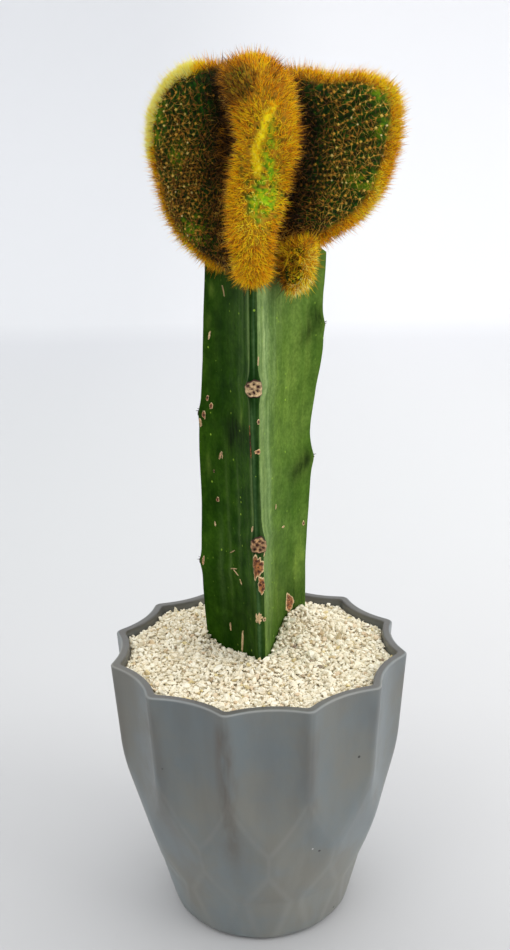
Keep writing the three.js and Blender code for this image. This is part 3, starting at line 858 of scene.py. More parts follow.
@dataclass(frozen=True)
class BristleFinish:
    """Fine spines: the map's width picks the tint from near-black to cream, its height runs base to tip."""

    name: str = "Bristle"
    tints: tuple[tuple[float, Colour], ...] = (
        (0.0, (0.006, 0.004, 0.003)), (0.14, (0.035, 0.016, 0.006)), (0.28, (0.11, 0.05, 0.012)),
        (0.42, (0.27, 0.125, 0.02)), (0.54, (0.52, 0.21, 0.018)), (0.64, (0.8, 0.31, 0.01)),
        (0.74, (0.95, 0.48, 0.01)), (0.84, (0.97, 0.68, 0.018)), (0.91, (0.96, 0.85, 0.02)),
        (0.96, (0.96, 0.925, 0.2)), (1.0, (0.97, 0.95, 0.48)))
    lengthwise: tuple[tuple[float, Colour], ...] = (
        (0.0, (0.6, 0.42, 0.28)), (0.2, (0.92, 0.84, 0.75)), (0.45, (1.0, 1.0, 1.0)),
        (0.82, (1.0, 1.0, 1.0)), (1.0, (0.65, 0.5, 0.4)))
    roughness: float = 0.42
    shine: float = 0.06

    def material(self) -> bpy.types.Material:
        """Builds the material of the bristles and of the wool at their feet.

        Returns:
            The material.
        """
        paint = Paint(self.name, on_map=True)
        place = paint.axes()
        colour = paint.tinted(paint.ramp(place[0], self.tints), paint.ramp(place[1], self.lengthwise))
        return paint.finish({"Base Color": colour, "Roughness": self.roughness,
                             "Specular IOR Level": self.shine})


# ---------------------------------------------------------------- the planter


@dataclass
class Planter:
    """A twelve-fluted moulded planter: hollow flutes at the rim that run into two rows of facets below."""

    height: float = 140.7
    wall: float = 4.3
    floor: float = 6.0
    panels: int = 12
    crease_turn: float = -101.8
    flute_radius: float = 68.8
    flute_taper: float = 0.04
    flute_curve: float = 45.0
    flute_opening: float = 0.43
    mid_facet: tuple = ((-2, 45.7), (27.2, 53.8), (85.9, 69.85), (122, 79.7), (142, 85.2))
    low_facet: tuple = ((-2, 46.7), (5, 48.1), (27, 52.6), (49.2, 62.2), (71.4, 71.8), (142, 102.3))
    foot_radius: float = 40.4
    foot_round: float = 13.0
    body_slope: float = 0.313
    body_radius: float = 76.0
    cavity: tuple = ((6, 42), (27, 48), (51, 56), (72, 62), (106, 71), (142, 71))
    edge_round: float = 0.9
    flute_crease: float = 3.4
    facet_crease: float = 2.2
    hidden_crease: float = 0.5
    grit_covers: float = 114.0
    grit_blend: float = 6.0
    edge_reach: float = 0.9
    drain_radius: float = 4.0
    drain_circle: float = 25.0
    stained_turn: float = -101.8
    stain_spread: float = 12.0
    stain_heights: tuple = (40, 95, 128, 139)
    columns: int = 600
    rows: int = 108
    foot_rows: int = 11
    edge_rows: int = 5
    rim_shares: tuple = (0.15, 0.4, 0.7)
    inside_rows: int = 12
    inside_levels: tuple = (138.7, 108.0, 100.0)
    web_steps: int = 14
    web_shares: tuple = (0, 0.12, 0.35, 0.65, 1.0)

    def angles(self) -> Array:
        """Headings of the columns of points in degrees, with a column on every crease."""
        return self.crease_turn + np.arange(self.columns) * 360 / self.columns

    def _beside(self, angle: Array, offset: float) -> list[Array]:
        """Turns from the nearest and the next nearest panel, in radians.

        Args:
            angle: Headings in degrees.
            offset: Where the panels start, as a share of a panel from the first crease.

        Returns:
            Two arrays of turns.
        """
        step = 360 / self.panels
        from_start = (angle - self.crease_turn) / step - offset
        near = (from_start - np.round(from_start)) * step
        return [np.radians(near), np.radians(step - np.abs(near))]

    def _flute(self, turn: Array, height: Array, inset: float) -> Array:
        """Radius of a flute's hollow.

        Formula: (d + c)cos(t) - sqrt(c*c - (d + c)^2 sin(t)^2), with d to its middle and c its curve.

        Args:
            turn: Turns from the flute's middle, in radians.
            height: Heights.
            inset: How far the surface lies inside the outer one.

        Returns:
            Radii, large where the flute doesn't reach.
        """
        middle = self.flute_radius - inset - self.flute_taper * (self.height - height)
        curve = self.flute_curve + inset + self.flute_opening * (self.height - height)
        under = curve**2 - ((middle + curve) * np.sin(turn)) ** 2
        radius = (middle + curve) * np.cos(turn) - np.sqrt(np.maximum(under, 0))
        return np.where(under > 0, radius, radius + np.sqrt(np.maximum(-under, 0)))

    def _facet(self, profile: tuple, turn: Array, height: Array) -> Array:
        """Radius of a flat facet: its distance from the axis over cos(turn), with its bends eased.

        Args:
            profile: (height, distance) points.
            turn: Turns from the facet's middle, in radians.
            height: Heights.

        Returns:
            Radii.
        """
        table = np.array(profile)
        shifts = (-1.2, -0.4, 0.4, 1.2)
        eased = sum(np.interp(height + shift, table[:, 0], table[:, 1]) for shift in shifts) / len(shifts)
        return eased / np.cos(turn)

    def outer(self, angle: Array, height: Array) -> tuple[Array, Array]:
        """Outer radius, and how near a point is to a crease or facet edge.

        Args:
            angle: Headings in degrees.
            height: Heights.

        Returns:
            Radii, and masks from 0 to 1 that are 1 on an edge.
        """
        bend, full = self.foot_round, self.foot_radius + self.foot_round
        foot = full - (bend - np.sqrt(np.maximum(bend**2 - (bend - height) ** 2, 0)))
        body = full + self.body_slope * (height - bend)
        radius = np.where(height < bend, foot, np.minimum(body, self.body_radius))
        surfaces = [self._flute(turn, height, 0) for turn in self._beside(angle, 0.5)]
        surfaces += [self._facet(self.mid_facet, turn, height) for turn in self._beside(angle, 0)]
        surfaces += [self._facet(self.low_facet, turn, height) for turn in self._beside(angle, 0.5)]
        nearest = np.sort(np.stack([radius + 0 * angle, *surfaces]), axis=0)
        for number, surface in enumerate(surfaces):
            radius = soft_min(radius, surface, self.flute_crease if number < 2 else self.facet_crease)
        return radius, 1 - smooth_ramp(0.0, self.edge_reach, nearest[1] - nearest[0])

    def inner(self, angle: Array, height: Array) -> Array:
        """Inner radius: the hollow's profile, cut by flutes that keep the wall's thickness.

        Args:
            angle: Headings in degrees.
            height: Heights.

        Returns:
            Radii.
        """
        table = np.array(self.cavity)
        radius = np.interp(height, table[:, 0], table[:, 1]) + 0 * angle
        seen = smooth_ramp(self.grit_covers, self.grit_covers + self.grit_blend, height)
        crease = self.hidden_crease + (self.facet_crease - self.hidden_crease) * seen
        for turn in self._beside(angle, 0.5):
            radius = soft_min(radius, self._flute(turn, height, self.wall), crease)
        return radius

    def inner_at(self, x: Array, y: Array, height: Array) -> Array:
        """Inner radius on the headings of places."""
        return self.inner(np.degrees(np.arctan2(y, x)), height)

    def _wall(self) -> Shell:
        """The wall as one sheet from the underside's edge over the rim to the floor's edge inside.

        Returns:
            The open sheet, with the masks of its finish.
        """
        angle = self.angles()
        ease = self.edge_round
        foot = self.foot_round * (1 - np.cos(np.radians(np.linspace(0, 90, self.foot_rows))))
        outside = np.concatenate([foot, np.linspace(self.foot_round, self.height - ease, self.rows)[1:]])
        bend = np.radians(np.linspace(0, 90, self.edge_rows))[1:]
        top = np.full(angle.shape, self.height)
        outer_top, _ = self.outer(angle, top)
        inner_top = self.inner(angle, top)
        none = 0 * top
        rows = [(none + height, *self.outer(angle, none + height), none, none) for height in outside]
        rows += [(top - ease * (1 - np.sin(a)), outer_top - ease * (1 - np.cos(a)), none,
                  none + np.sin(2 * a), none) for a in bend]
        for share in self.rim_shares:
            across = (outer_top - ease) + share * (inner_top - outer_top + 2 * ease)
            rows.append((top, across, none, none, none + 1))
        rows += [(top - ease * (1 - np.cos(a)), inner_top + ease * (1 - np.sin(a)), none, none, none + 1)
                 for a in (0.0, *bend)]
        high, mid, low = self.inside_levels
        for first, last in ((high, mid), (low, self.floor)):
            rows += [(none + height, self.inner(angle, none + height), none, none, none + 0.5)
                     for height in np.linspace(first, last, self.inside_rows)]
        levels, radii, edges, rims, lips = (np.stack(column) for column in zip(*rows))
        points = np.concatenate([radii[..., None] * ray(np.radians(angle)), levels[..., None]], -1)
        cells, places = sheet_cells(*levels.shape)
        valley = 1 - smooth_ramp(1.0, 6.0, np.abs(np.degrees(self._beside(angle, 0)[0])))
        valley = valley * (0.3 + 0.8 * hump(turn_from(self.stained_turn, angle), 0, self.stain_spread))
        low, full, going, gone = self.stain_heights
        fade = smooth_ramp(low, full, levels) * (1 - smooth_ramp(going, gone, levels))
        return Shell(points.reshape(-1, 3), [cells], [places * [1, 0.85]],
                     {"crease": edges.ravel(), "rim": rims.ravel(), "valley": (valley * fade).ravel(),
                      "lip": lips.ravel()})

    @staticmethod
    def _plain(count: int) -> dict[str, Array]:
        """Masks of a plain part of the planter: all zero."""
        return dict.fromkeys(("crease", "rim", "valley", "lip"), np.zeros(count))

    def _web(self, quarter: int, height: float, radius: float, map_middle: Sequence[float]) -> Shell:
        """A quarter of the floor as a ring sheet from a drain hole's edge to the quarter's outline.

        Args:
            quarter: Which quarter.
            height: Its level.
            radius: The floor's radius at that level.
            map_middle: Where the floor's middle lies on the map.

        Returns:
            The flat sheet, open in the hole.
        """
        step = self.columns // 4
        start = round(-self.crease_turn / 360 * self.columns)
        column = start + quarter * step + np.arange(step + 1)
        arc = np.radians(self.crease_turn + column * 360 / self.columns)
        ends = np.linspace(0, radius, self.web_steps)[:-1, None]
        outline = np.vstack([ends * ray(arc[0]), radius * ray(arc), ends[:0:-1] * ray(arc[-1])])
        middle = self.drain_circle * ray(np.radians(45 + 90 * quarter))
        hole = middle + self.drain_radius * unit(outline - middle)
        shares = np.array(self.web_shares)[:, None, None]
        flat = hole + shares * (outline - hole)
        points = np.concatenate([flat, np.full((*flat.shape[:2], 1), height)], -1)
        cells, _ = sheet_cells(*flat.shape[:2])
        flat_points = points.reshape(-1, 3)
        places = np.array(map_middle) + flat_points[cells][..., :2] / self.cavity[0][1] * 0.07
        return Shell(flat_points, [cells], [places], self._plain(len(flat_points)))

    def build(self, material: bpy.types.Material) -> None:
        """Makes the planter as one closed body with its drain holes.

        Args:
            material: Its finish.
        """
        shells = [self._wall()]
        for quarter in range(4):
            under = self._web(quarter, 0.0, self.foot_radius, (0.1, 0.92))
            inside = self._web(quarter, self.floor, self.cavity[0][1], (0.3, 0.92)).flipped()
            columns = len(under.points) // len(self.web_shares)
            rings = np.stack([under.points[:columns], inside.points[:columns]])
            cells, places = sheet_cells(2, columns)
            places = places * [0.1, 0.1] + [0.5 + 0.12 * quarter, 0.87]
            bore = Shell(rings.reshape(-1, 3), [cells], [places], self._plain(2 * columns)).flipped()
            shells += [under, inside, bore]
        make_piece("planter", join_shells(shells), material, Slot.PLANTER, "pot", weld=True)


# ---------------------------------------------------------------- the stock


@dataclass(frozen=True)
class Patch:
    """A soft area of the stock's skin: across is the way round from the front ridge, right positive."""

    across: float
    height: float
    half_width: float
    half_height: float
    strength: float

    def mask(self, across: Array, height: Array) -> Array:
        """The patch's strength at places: strength * exp(-(u*u + v*v)), u and v in its half sizes."""
        return self.strength * np.exp(-(((across - self.across) / self.half_width) ** 2)
                                      - ((height - self.height) / self.half_height) ** 2)


@dataclass(frozen=True)
class Scar:
    """A corky scar: its middle on the skin, size, lean, pits, paleness, raggedness and narrowing."""

    across: float
    height: float
    length: float
    width: float
    lean: float = 0.0
    pits: int = 0
    pale: float = 0.0
    ragged: float = 0.1
    taper: float = 0.0


@dataclass
class Stock:
    """The three-winged rootstock: three blunt ridges joined by hollow faces."""

    front: tuple = ((96, 2.4, -20), (141, 2, -22), (195, 1.3, -22), (270, 0.1, -22), (320, 0.4, -22),
                    (338, 1, -21))
    right: tuple = ((96, 22, 24), (149, 24.7, 27), (176, 25, 27), (212, 27, 27), (230, 28.2, 27),
                    (244, 27.2, 27), (264, 30, 27), (284, 33.6, 27), (305, 33.6, 27), (326, 35, 27),
                    (338, 35.2, 27))
    left: tuple = ((96, -23, 21), (141, -26.2, 23), (177, -27.5, 23), (210, -26.6, 23), (240, -27, 23),
                   (267, -25, 23), (298, -23.2, 23), (325, -21.6, 22.5), (338, -21, 22))
    ridge_width: float = 3.8
    face_hollow: float = 0.16
    foot: float = 84.0
    top: float = 336.0
    shoulder_drop: float = 5.0
    shoulder_inset: float = 0.22
    taper_start: float = 110.0
    taper_run: float = 40.0
    front_areoles: tuple = (200.4, 274.2)
    right_areoles: tuple = (230.1, 296.6)
    left_areoles: tuple = (176.5, 254.6)
    ridge_steps: int = 14
    face_steps: int = 60
    rings: int = 262
    strip_half: float = 2.0
    mark_seed: int = 41
    spine_seed: int = 43
    root_count: int = 7
    root_level: float = 90.0
    # Areas of pale waxy coat, partly painted sheen.
    bloom_and_sheen: tuple = rows(Patch,
        (7.5, 298, 7.5, 64, 0.9), (8, 214, 7.5, 46, 0.85), (17, 282, 7, 50, 0.42), (26, 322, 22, 26, 0.34),
        (10, 176, 5.5, 18, 0.5), (18, 196, 3, 30, 0.3), (-31, 178, 1.4, 20, 0.22),
        (-39, 172, 2, 28, 0.18), (-22, 205, 1.6, 30, 0.2), (-33, 222, 1.2, 24, 0.16),
        (-26, 316, 15, 30, 0.07), (9, 160, 4, 22, 0.2), (-5, 312, 3, 26, 0.22),
        (-3.4, 275, 1.2, 50, 0.3), (-14, 300, 1.6, 34, 0.16), (-4.2, 200, 1.8, 34, 0.26),
        (-12, 196, 2.2, 40, 0.12), (-18, 272, 1.4, 40, 0.12), (18, 236, 1.8, 30, 0.3),
        (22, 285, 1.4, 20, 0.25))
    lime: tuple = rows(Patch,
        (38, 300, 18, 50, 0.45), (35, 258, 13, 32, 0.55), (26, 205, 14, 40, 0.2), (27, 163, 7, 13, 0.8),
        (46, 172, 4, 8, 0.6), (22, 184, 1.4, 12, 0.6), (5, 172, 1.6, 30, 0.55), (14, 176, 7, 18, 0.5),
        (4.2, 249, 1.3, 6, 0.9), (-16, 258, 1.6, 4, 0.8), (3, 205, 1, 10, 0.6), (28, 263, 2, 4, 0.8),
        (-45, 315, 2, 3, 0.5), (-47, 300, 1.6, 4, 0.5), (-47, 229, 1.8, 5, 0.5), (52, 177, 1.6, 3, 0.9),
        (48, 180, 4, 10, 0.55), (39, 172, 5, 12, 0.4), (18.6, 212, 1, 2, 0.7))
    # Areas of painted shade.
    deep: tuple = rows(Patch,
        (-24, 252, 7, 9, 0.9), (-29, 244, 4, 8, 0.6), (-15, 249, 6, 8, 0.6), (-4.5, 247, 1.6, 12, 0.8),
        (55, 300, 5.5, 6, 0.75), (50, 295, 5, 5, 0.6), (46, 290, 4.5, 4.5, 0.35), (52, 231, 5.5, 5, 0.65),
        (47, 227, 6, 5, 0.6), (42, 223, 6, 5, 0.35), (32, 166, 14, 26, 0.3), (-42, 300, 16, 80, 0.3),
        (-24, 160, 20, 26, 0.35), (46, 152, 10, 14, 0.6), (-10.5, 320, 2.6, 22, 0.5),
        (-24, 315, 5, 24, 0.35), (0, 274.2, 5.2, 5.3, 1), (0, 200.4, 5.2, 5.3, 0.9))
    scars: tuple = rows(Scar,
        (-1.3, 189.5, 12, 6.4, 8, 6, 0, 0.17), (0.9, 180.2, 9.5, 3.5, -3, 3, 0, 0.12),
        (-4.4, 207.4, 3.4, 1.7, 35, 0, 0.5), (3.2, 195.5, 2.4, 0.6, 40, 0, 0.9),
        (-1.2, 163.4, 5, 3.6, 20, 0, 0.85, 0.26), (2, 162.6, 1.8, 2.4, 0, 1, 0.9),
        (39.6, 156.6, 11.5, 6.8, -16, 3, 0, 0.1, 0.7), (-22.5, 142.4, 12.5, 1.7, 8, 0, 0.85),
        (-34, 146, 4.6, 1, 0, 0, 0.75), (-46, 293.2, 4.6, 1.3, 14, 0, 1),
        (-35, 315, 5.2, 0.6, -24, 0, 0.25), (-47, 262.7, 2.8, 1.8, 10, 1),
        (-43.6, 259.3, 3.2, 2.5, -10, 1), (-48, 254.4, 4, 2.4, 0, 1),
        (-51.2, 250, 4.6, 1.6, 0, 0, 0.5), (-51.5, 177.6, 5, 1.6, 0, 0, 0.3),
        (-37.4, 235.4, 4, 1.2, 18, 0, 0.3), (-35.9, 236.2, 3.4, 0.9, -8, 0, 0.3),
        (-43, 226.5, 1.4, 1, 0, 1), (-41, 212.3, 2.6, 2.2, 0, 1, 0),
        (-44, 199, 2.2, 1, -20, 0, 0.9), (-29.5, 188, 5, 0.45, 60, 0, 0.6),
        (-28, 179.6, 5.4, 0.5, 75, 0, 0.6), (-25.6, 178.2, 4.4, 0.45, 110, 0, 0.6),
        (-21, 175, 3, 0.6, -30, 0, 0.6), (52, 195.8, 2.8, 1.7, 0, 1, 0.3),
        (33, 199.5, 1, 2.4, 0, 0, 0.5), (2.6, 286.5, 4, 0.5, 8, 0, 0.4),
        (1.9, 259.1, 2.2, 1.7, 0, 1, 0.2), (1.1, 245.2, 2.2, 3, 0, 1, 0.2),
        (-2.7, 249.5, 11, 0.6, -3, 7, -1, 0.3), (24.5, 212, 2.4, 0.6, 12, 0, 0.8))

    def _ridges(self, height: Array) -> Array:
        """Places of the front, right and left ridge at heights, (n, 3, 2)."""
        return np.stack([knot_curve(path, height) for path in (self.front, self.right, self.left)], 1)

    def outline(self, height: Array) -> Array:
        """The stem's outline at heights: each ridge a short flat, each face a curve that sags inward.

        Formula of a face: (1 - t)^2 a + 2t(1 - t) m + t^2 b, with m the middle of a and b moved in.

        Args:
            height: Heights, (n,).

        Returns:
            Points (n, columns, 2), starting at the front ridge and going round by the right ridge.
        """
        tips = self._ridges(height)
        centre = tips.mean(1, keepdims=True)
        drop = (height - self.top + self.shoulder_drop) / self.shoulder_drop
        trim = self.shoulder_inset * np.clip(drop, 0, 1)
        taper = np.maximum((self.taper_start - height) / self.taper_run, 0)
        out = tips - centre
        along = unit(out)
        across = np.stack([-along[..., 1], along[..., 0]], -1)
        end = centre + out * (1 - trim - taper)[:, None, None]
        levels = (self.front_areoles, self.right_areoles, self.left_areoles)
        swell = np.stack([sum(hump(height, level, 4.5) for level in side) for side in levels], 1)
        end = end + along * (0.5 * swell - 0.25)[..., None]
        half = (self.ridge_width / 2 + 1.1 * swell)[..., None]
        near, far = end - across * half, end + across * half
        parts = []
        for side in range(3):
            start, target = far[:, side], near[:, (side + 1) % 3]
            t = np.linspace(0, 1, self.ridge_steps, endpoint=False)[None, :, None]
            crown = 0.35 * (1 - (2 * t - 1) ** 2)
            ridge = near[:, side, None] * (1 - t) + far[:, side, None] * t
            parts.append(ridge + along[:, side, None] * crown)
            middle = (start + target) / 2
            inward = unit(centre[:, 0] - middle)
            sag = self.face_hollow * np.linalg.norm(target - start, axis=-1, keepdims=True)
            control = middle + inward * sag
            t = np.linspace(0, 1, self.face_steps, endpoint=False)[None, :, None]
            parts.append((1 - t) ** 2 * start[:, None] + 2 * t * (1 - t) * control[:, None]
                         + t**2 * target[:, None])
        ring = np.concatenate(parts, 1)
        ring = np.roll(ring, -(self.ridge_steps // 2), axis=1)
        return (ring * 2 + np.roll(ring, 1, 1) + np.roll(ring, -1, 1)) / 4

    @staticmethod
    def _way_round(ring: Array) -> Array:
        """Distance round each outline from its first point, (n, columns + 1)."""
        step = np.linalg.norm(np.roll(ring, -1, 1) - ring, axis=-1)
        return np.concatenate([np.zeros((len(ring), 1)), np.cumsum(step, 1)], 1)

    @staticmethod
    def _outward(tangent: Array) -> Array:
        """Level directions square to the outline's tangents."""
        return np.stack([tangent[..., 1], -tangent[..., 0], 0 * tangent[..., 0]], -1)

    def _relief(self, points: Array) -> Array:
        """Small unevenness of the skin: long low waves up the stem and fine dents."""
        long = lattice_noise(points * [1, 1, 0.16], 5.0, seed=11)
        return 0.16 * long + 0.1 * lattice_noise(points * [1, 1, 0.5], 2.6, seed=12)

    def skin(self, across: Array, height: Array) -> tuple[Array, Array]:
        """Places on the skin.

        Args:
            across: Ways round from the front ridge, right of it positive.
            height: Heights.

        Returns:
            Points and outward directions, each (n, 3).
        """
        ring = self.outline(height)
        way = self._way_round(ring)
        total = way[:, -1]
        target = across % total
        after = np.minimum((way <= target[:, None]).sum(1), way.shape[1] - 1)
        rows = np.arange(len(ring))
        share = ((target - way[rows, after - 1]) / (way[rows, after] - way[rows, after - 1]))[:, None]
        first, second = ring[rows, after - 1], ring[rows, after % ring.shape[1]]
        place = first * (1 - share) + second * share
        tangent = unit(ring[rows, (after + 1) % ring.shape[1]] - ring[rows, after - 2])
        normal = self._outward(tangent)
        points = np.concatenate([place, height[:, None]], 1)
        return points + normal * self._relief(points)[:, None], normal

    def body(self, material: bpy.types.Material) -> None:
        """Makes the stem's skin as one closed body.

        Args:
            material: Its finish.
        """
        height = np.concatenate([np.linspace(self.foot, self.top - self.shoulder_drop, self.rings),
                                 [self.top - 2.5, self.top]])
        ring = self.outline(height)
        way, total = np.split(self._way_round(ring), [-1], axis=1)
        signed = np.where(way > total / 2, way - total, way)
        levels = np.broadcast_to(height[:, None], way.shape)
        normal = self._outward(unit(np.roll(ring, -1, 1) - np.roll(ring, 1, 1)))
        points = np.concatenate([ring, levels[..., None]], -1)
        lines = hump(np.abs(signed), self.strip_half, 0.5) * 0.15
        relief = self._relief(points.reshape(-1, 3)).reshape(way.shape) - lines
        points = points + normal * relief[..., None]
        swell = sum(2.5 * hump(levels - level, 1.0, 5.8) + 0.8 * hump(levels - level, -12, 12)
                    for level in self.front_areoles)
        strip = np.abs(signed + 0.25 * np.sin(levels / 17)) - self.strip_half - swell
        line = hump(signed, 0.2, 0.42) * (0.9 - 0.5 * np.clip(swell - 0.8, 0, 1))
        low_line = 0.75 * hump(signed, -1.0, 0.9) * smooth_ramp(270, 258, levels)
        values = {"rightness": smooth_ramp(-0.5, 1.0, signed) * (1 - smooth_ramp(58, 66, signed)),
                  "strip": strip, "strip_line": line * smooth_ramp(250, 275, levels) + low_line}
        # The waxy coat's areas are partly painted sheen, and the deep areas are painted shade.
        for name, patches in (("bloom_and_sheen", self.bloom_and_sheen), ("lime", self.lime), ("deep", self.deep)):
            values[name] = np.clip(sum(patch.mask(signed, levels) for patch in patches), 0, 1)
        make_piece("stock_body", ring_shell(points, values), material, Slot.STOCK, "rootstock")

    def _disc(self, scar: Scar, rng: np.random.Generator, rise: float, spots: Array) -> Shell:
        """A low corky patch wrapped on the skin: an uneven outline, a raised edge and sunk pits.

        Args:
            scar: Its place and size.
            rng: Source of its uneven outline.
            rise: How high it stands.
            spots: Places of its pits in its own width and length, (n, 2).

        Returns:
            A closed low body, half sunk in the skin.
        """
        steps, shares = 40, np.array([0.08, 0.28, 0.48, 0.66, 0.8, 0.9, 0.97, 1.02])
        angle = np.linspace(0, 2 * np.pi, steps, endpoint=False)
        waves = sum(rng.uniform(-1, 1) * scar.ragged * np.cos(k * angle + rng.uniform(0, 6.3))
                    for k in (2, 3, 4, 5, 7, 9))
        radius = (1 + waves)[None] * shares[:, None]
        u, v = radius * np.cos(angle), radius * np.sin(angle)
        lean = np.radians(scar.lean)
        wide, long = u * (1 - scar.taper * v) * scar.width / 2, v * scar.length / 2
        across = scar.across + wide * np.cos(lean) + long * np.sin(lean)
        height = scar.height + long * np.cos(lean) - wide * np.sin(lean)
        spot = np.zeros(u.shape)
        for x, y in spots + rng.normal(0, 0.07, np.shape(spots)):
            area = (0.32 + 0.18 * (rise > 0.5)) * rng.uniform(0.45, 1.4)
            away = ((u - x) * scar.width) ** 2 + ((v - y) * scar.length) ** 2
            spot = np.maximum(spot, np.exp(-away / 4 / area))
        profile = np.interp(shares, [0, 0.7, 0.88, 0.97, 1.02], [0.6, 0.7, 1.0, 0.6, -0.9])[:, None]
        surface, normal = self.skin(across.ravel(), height.ravel())
        rough = 0.25 * lattice_noise(surface, 0.8, seed=5).reshape(u.shape) * (shares[:, None] < 0.95)
        lift = rise * (profile + rough) - 0.5 * rise * spot
        surface, normal = (part.reshape(*u.shape, 3) for part in (surface, normal))
        outer = surface + normal * lift[..., None]
        under = surface[-1] - 1.2 * normal[-1]
        under = under * 0.5 + under.mean(0) * 0.5
        rings = np.concatenate([outer, under[None]])
        border = smooth_ramp(0.76, 0.9, shares)[:, None]
        rim = np.clip(border + scar.pale + 0 * u, 0, 1)
        pit = np.maximum(np.clip(1.8 * spot, 0, 1), border * (rise > 0.5))
        values = {"rim": np.vstack([rim, rim[-1]]), "pit": np.vstack([pit, pit[-1]])}
        return ring_shell(rings, values)

    def marks(self, material: bpy.types.Material) -> None:
        """Makes all scars and areole pads as one piece, each a low corky body on the skin.

        Args:
            material: Their finish.
        """
        rng = np.random.default_rng(self.mark_seed)
        shells = []
        for scar in self.scars:
            turns = np.linspace(0, 2 * np.pi, max(scar.pits, 1), endpoint=False) + rng.uniform(0, 6)
            reach = 0.5 if scar.pits > 1 else 0.0
            spots = reach * ray(turns) if scar.pits else np.zeros((0, 2))
            shells.append(self._disc(scar, rng, 0.35, spots))
        for place, spots in self._pads():
            shells.append(self._disc(place, rng, 0.85, spots))
        make_piece("stock_marks", join_shells(shells), material, Slot.STOCK)

    def _pads(self) -> list[tuple[Scar, Array]]:
        """The areole pads as low corky discs, with the feet of their spines.

        Returns:
            Each pad, with the feet's places in its own width and length.
        """
        spots = np.array([[-0.48, 0.42], [0.02, 0.5], [0.5, 0.3], [-0.22, -0.02], [0.4, -0.22],
                          [-0.44, -0.46], [0.1, -0.5]])
        pads = [(Scar(0.0, level, 8.2, 8.4, 0, 7, pale, 0.075), spots)
                for level, pale in zip(self.front_areoles, (0.3, 0.8))]
        right, left = (self.side_way(side) for side in (1, 2))
        pads += [(Scar(right(level), level, 3.4, 3.2, 0, 4), spots[:4]) for level in self.right_areoles]
        pads += [(Scar(left(level), level, 4.2, 4.0, 0, 4), spots[:4]) for level in self.left_areoles]
        return pads

    def side_way(self, side: int) -> Callable[[float], float]:
        """A function from a height to the way round from the front ridge to another ridge.

        Args:
            side: 1 for the right ridge, 2 for the left.

        Returns:
            The function.
        """
        def way_at(level: float) -> float:
            """Way round to the ridge's middle at one height.

            Args:
                level: The height.

            Returns:
                The way round.
            """
            ring = self.outline(np.array([level]))
            way = self._way_round(ring)[0]
            spot = way[side * (self.ridge_steps + self.face_steps)]
            return float(spot if side == 1 else spot - way[-1])
        return way_at

    def spines(self, material: bpy.types.Material) -> None:
        """Makes the short dark spines of the stock's areoles as one piece.

        Args:
            material: Their finish.
        """
        rng = np.random.default_rng(self.spine_seed)
        roots, ways, lengths = [], [], []
        for number, (pad, spots) in enumerate(self._pads()):
            for x, y in spots:
                point, normal = self.skin(np.array([pad.across + x * pad.width / 2]),
                                          np.array([pad.height + y * pad.length / 2]))
                side = np.cross([0, 0, 1], normal[0])
                lean = 0.5 * (x * side + np.array([0, 0, y])) + rng.normal(0, 0.12, 3)
                roots.append(point[0] + 0.25 * normal[0])
                ways.append(normal[0] + (1.4 if number > 1 else 0.8) * lean)
                lengths.append(rng.uniform(1.5, 2.5) if number > 1 else rng.uniform(0.4, 0.8))
        count = len(roots)
        shell = needles(np.array(roots), unit(np.array(ways)), np.array(lengths), np.full(count, 0.36),
                        rng.uniform(0.0, 0.12, count), rng, sides=6)
        make_piece("stock_spines", shell, material, Slot.STOCK)

    def roots(self, material: bpy.types.Material) -> None:
        """Makes the buried roots as one piece: tapered bodies that run out and down from the foot.

        Args:
            material: Their finish.
        """
        number = np.arange(self.root_count)
        angle = np.radians(number * 360 / self.root_count + 11)
        dip = np.radians(38 + 14 * (number % 3))
        way = np.column_stack([ray(angle) * np.cos(dip)[:, None], -np.sin(dip)])
        centre = self._ridges(np.array([self.root_level]))[0].mean(0)
        start = np.column_stack([centre + 4.4 * ray(angle), np.full(self.root_count, self.root_level)])
        share = np.linspace(0, 1, 26)
        turn = np.linspace(0, 2 * np.pi, 10, endpoint=False)
        first, second = side_axes(way)
        shells = []
        for k in number:
            wander = (1.1 * np.sin(share * 7 + k)[:, None] * first[k]
                      + 0.9 * np.sin(share * 5 + 2 * k)[:, None] * second[k])
            path = start[k] + share[:, None] * way[k] * (44 - 6 * (k % 2)) + wander * share[:, None]
            radius = (3.2 - 2.3 * share)[:, None, None]
            rings = path[:, None] + radius * swung(turn, first[k], second[k])
            flat = np.zeros(rings.shape[:2])
            shells.append(ring_shell(rings, {"rim": flat + 0.4, "pit": flat}))
        outward = join_shells([shell.outward() for shell in shells])
        make_piece("stock_roots", outward, material, Slot.STOCK)


# ---------------------------------------------------------------- the grit


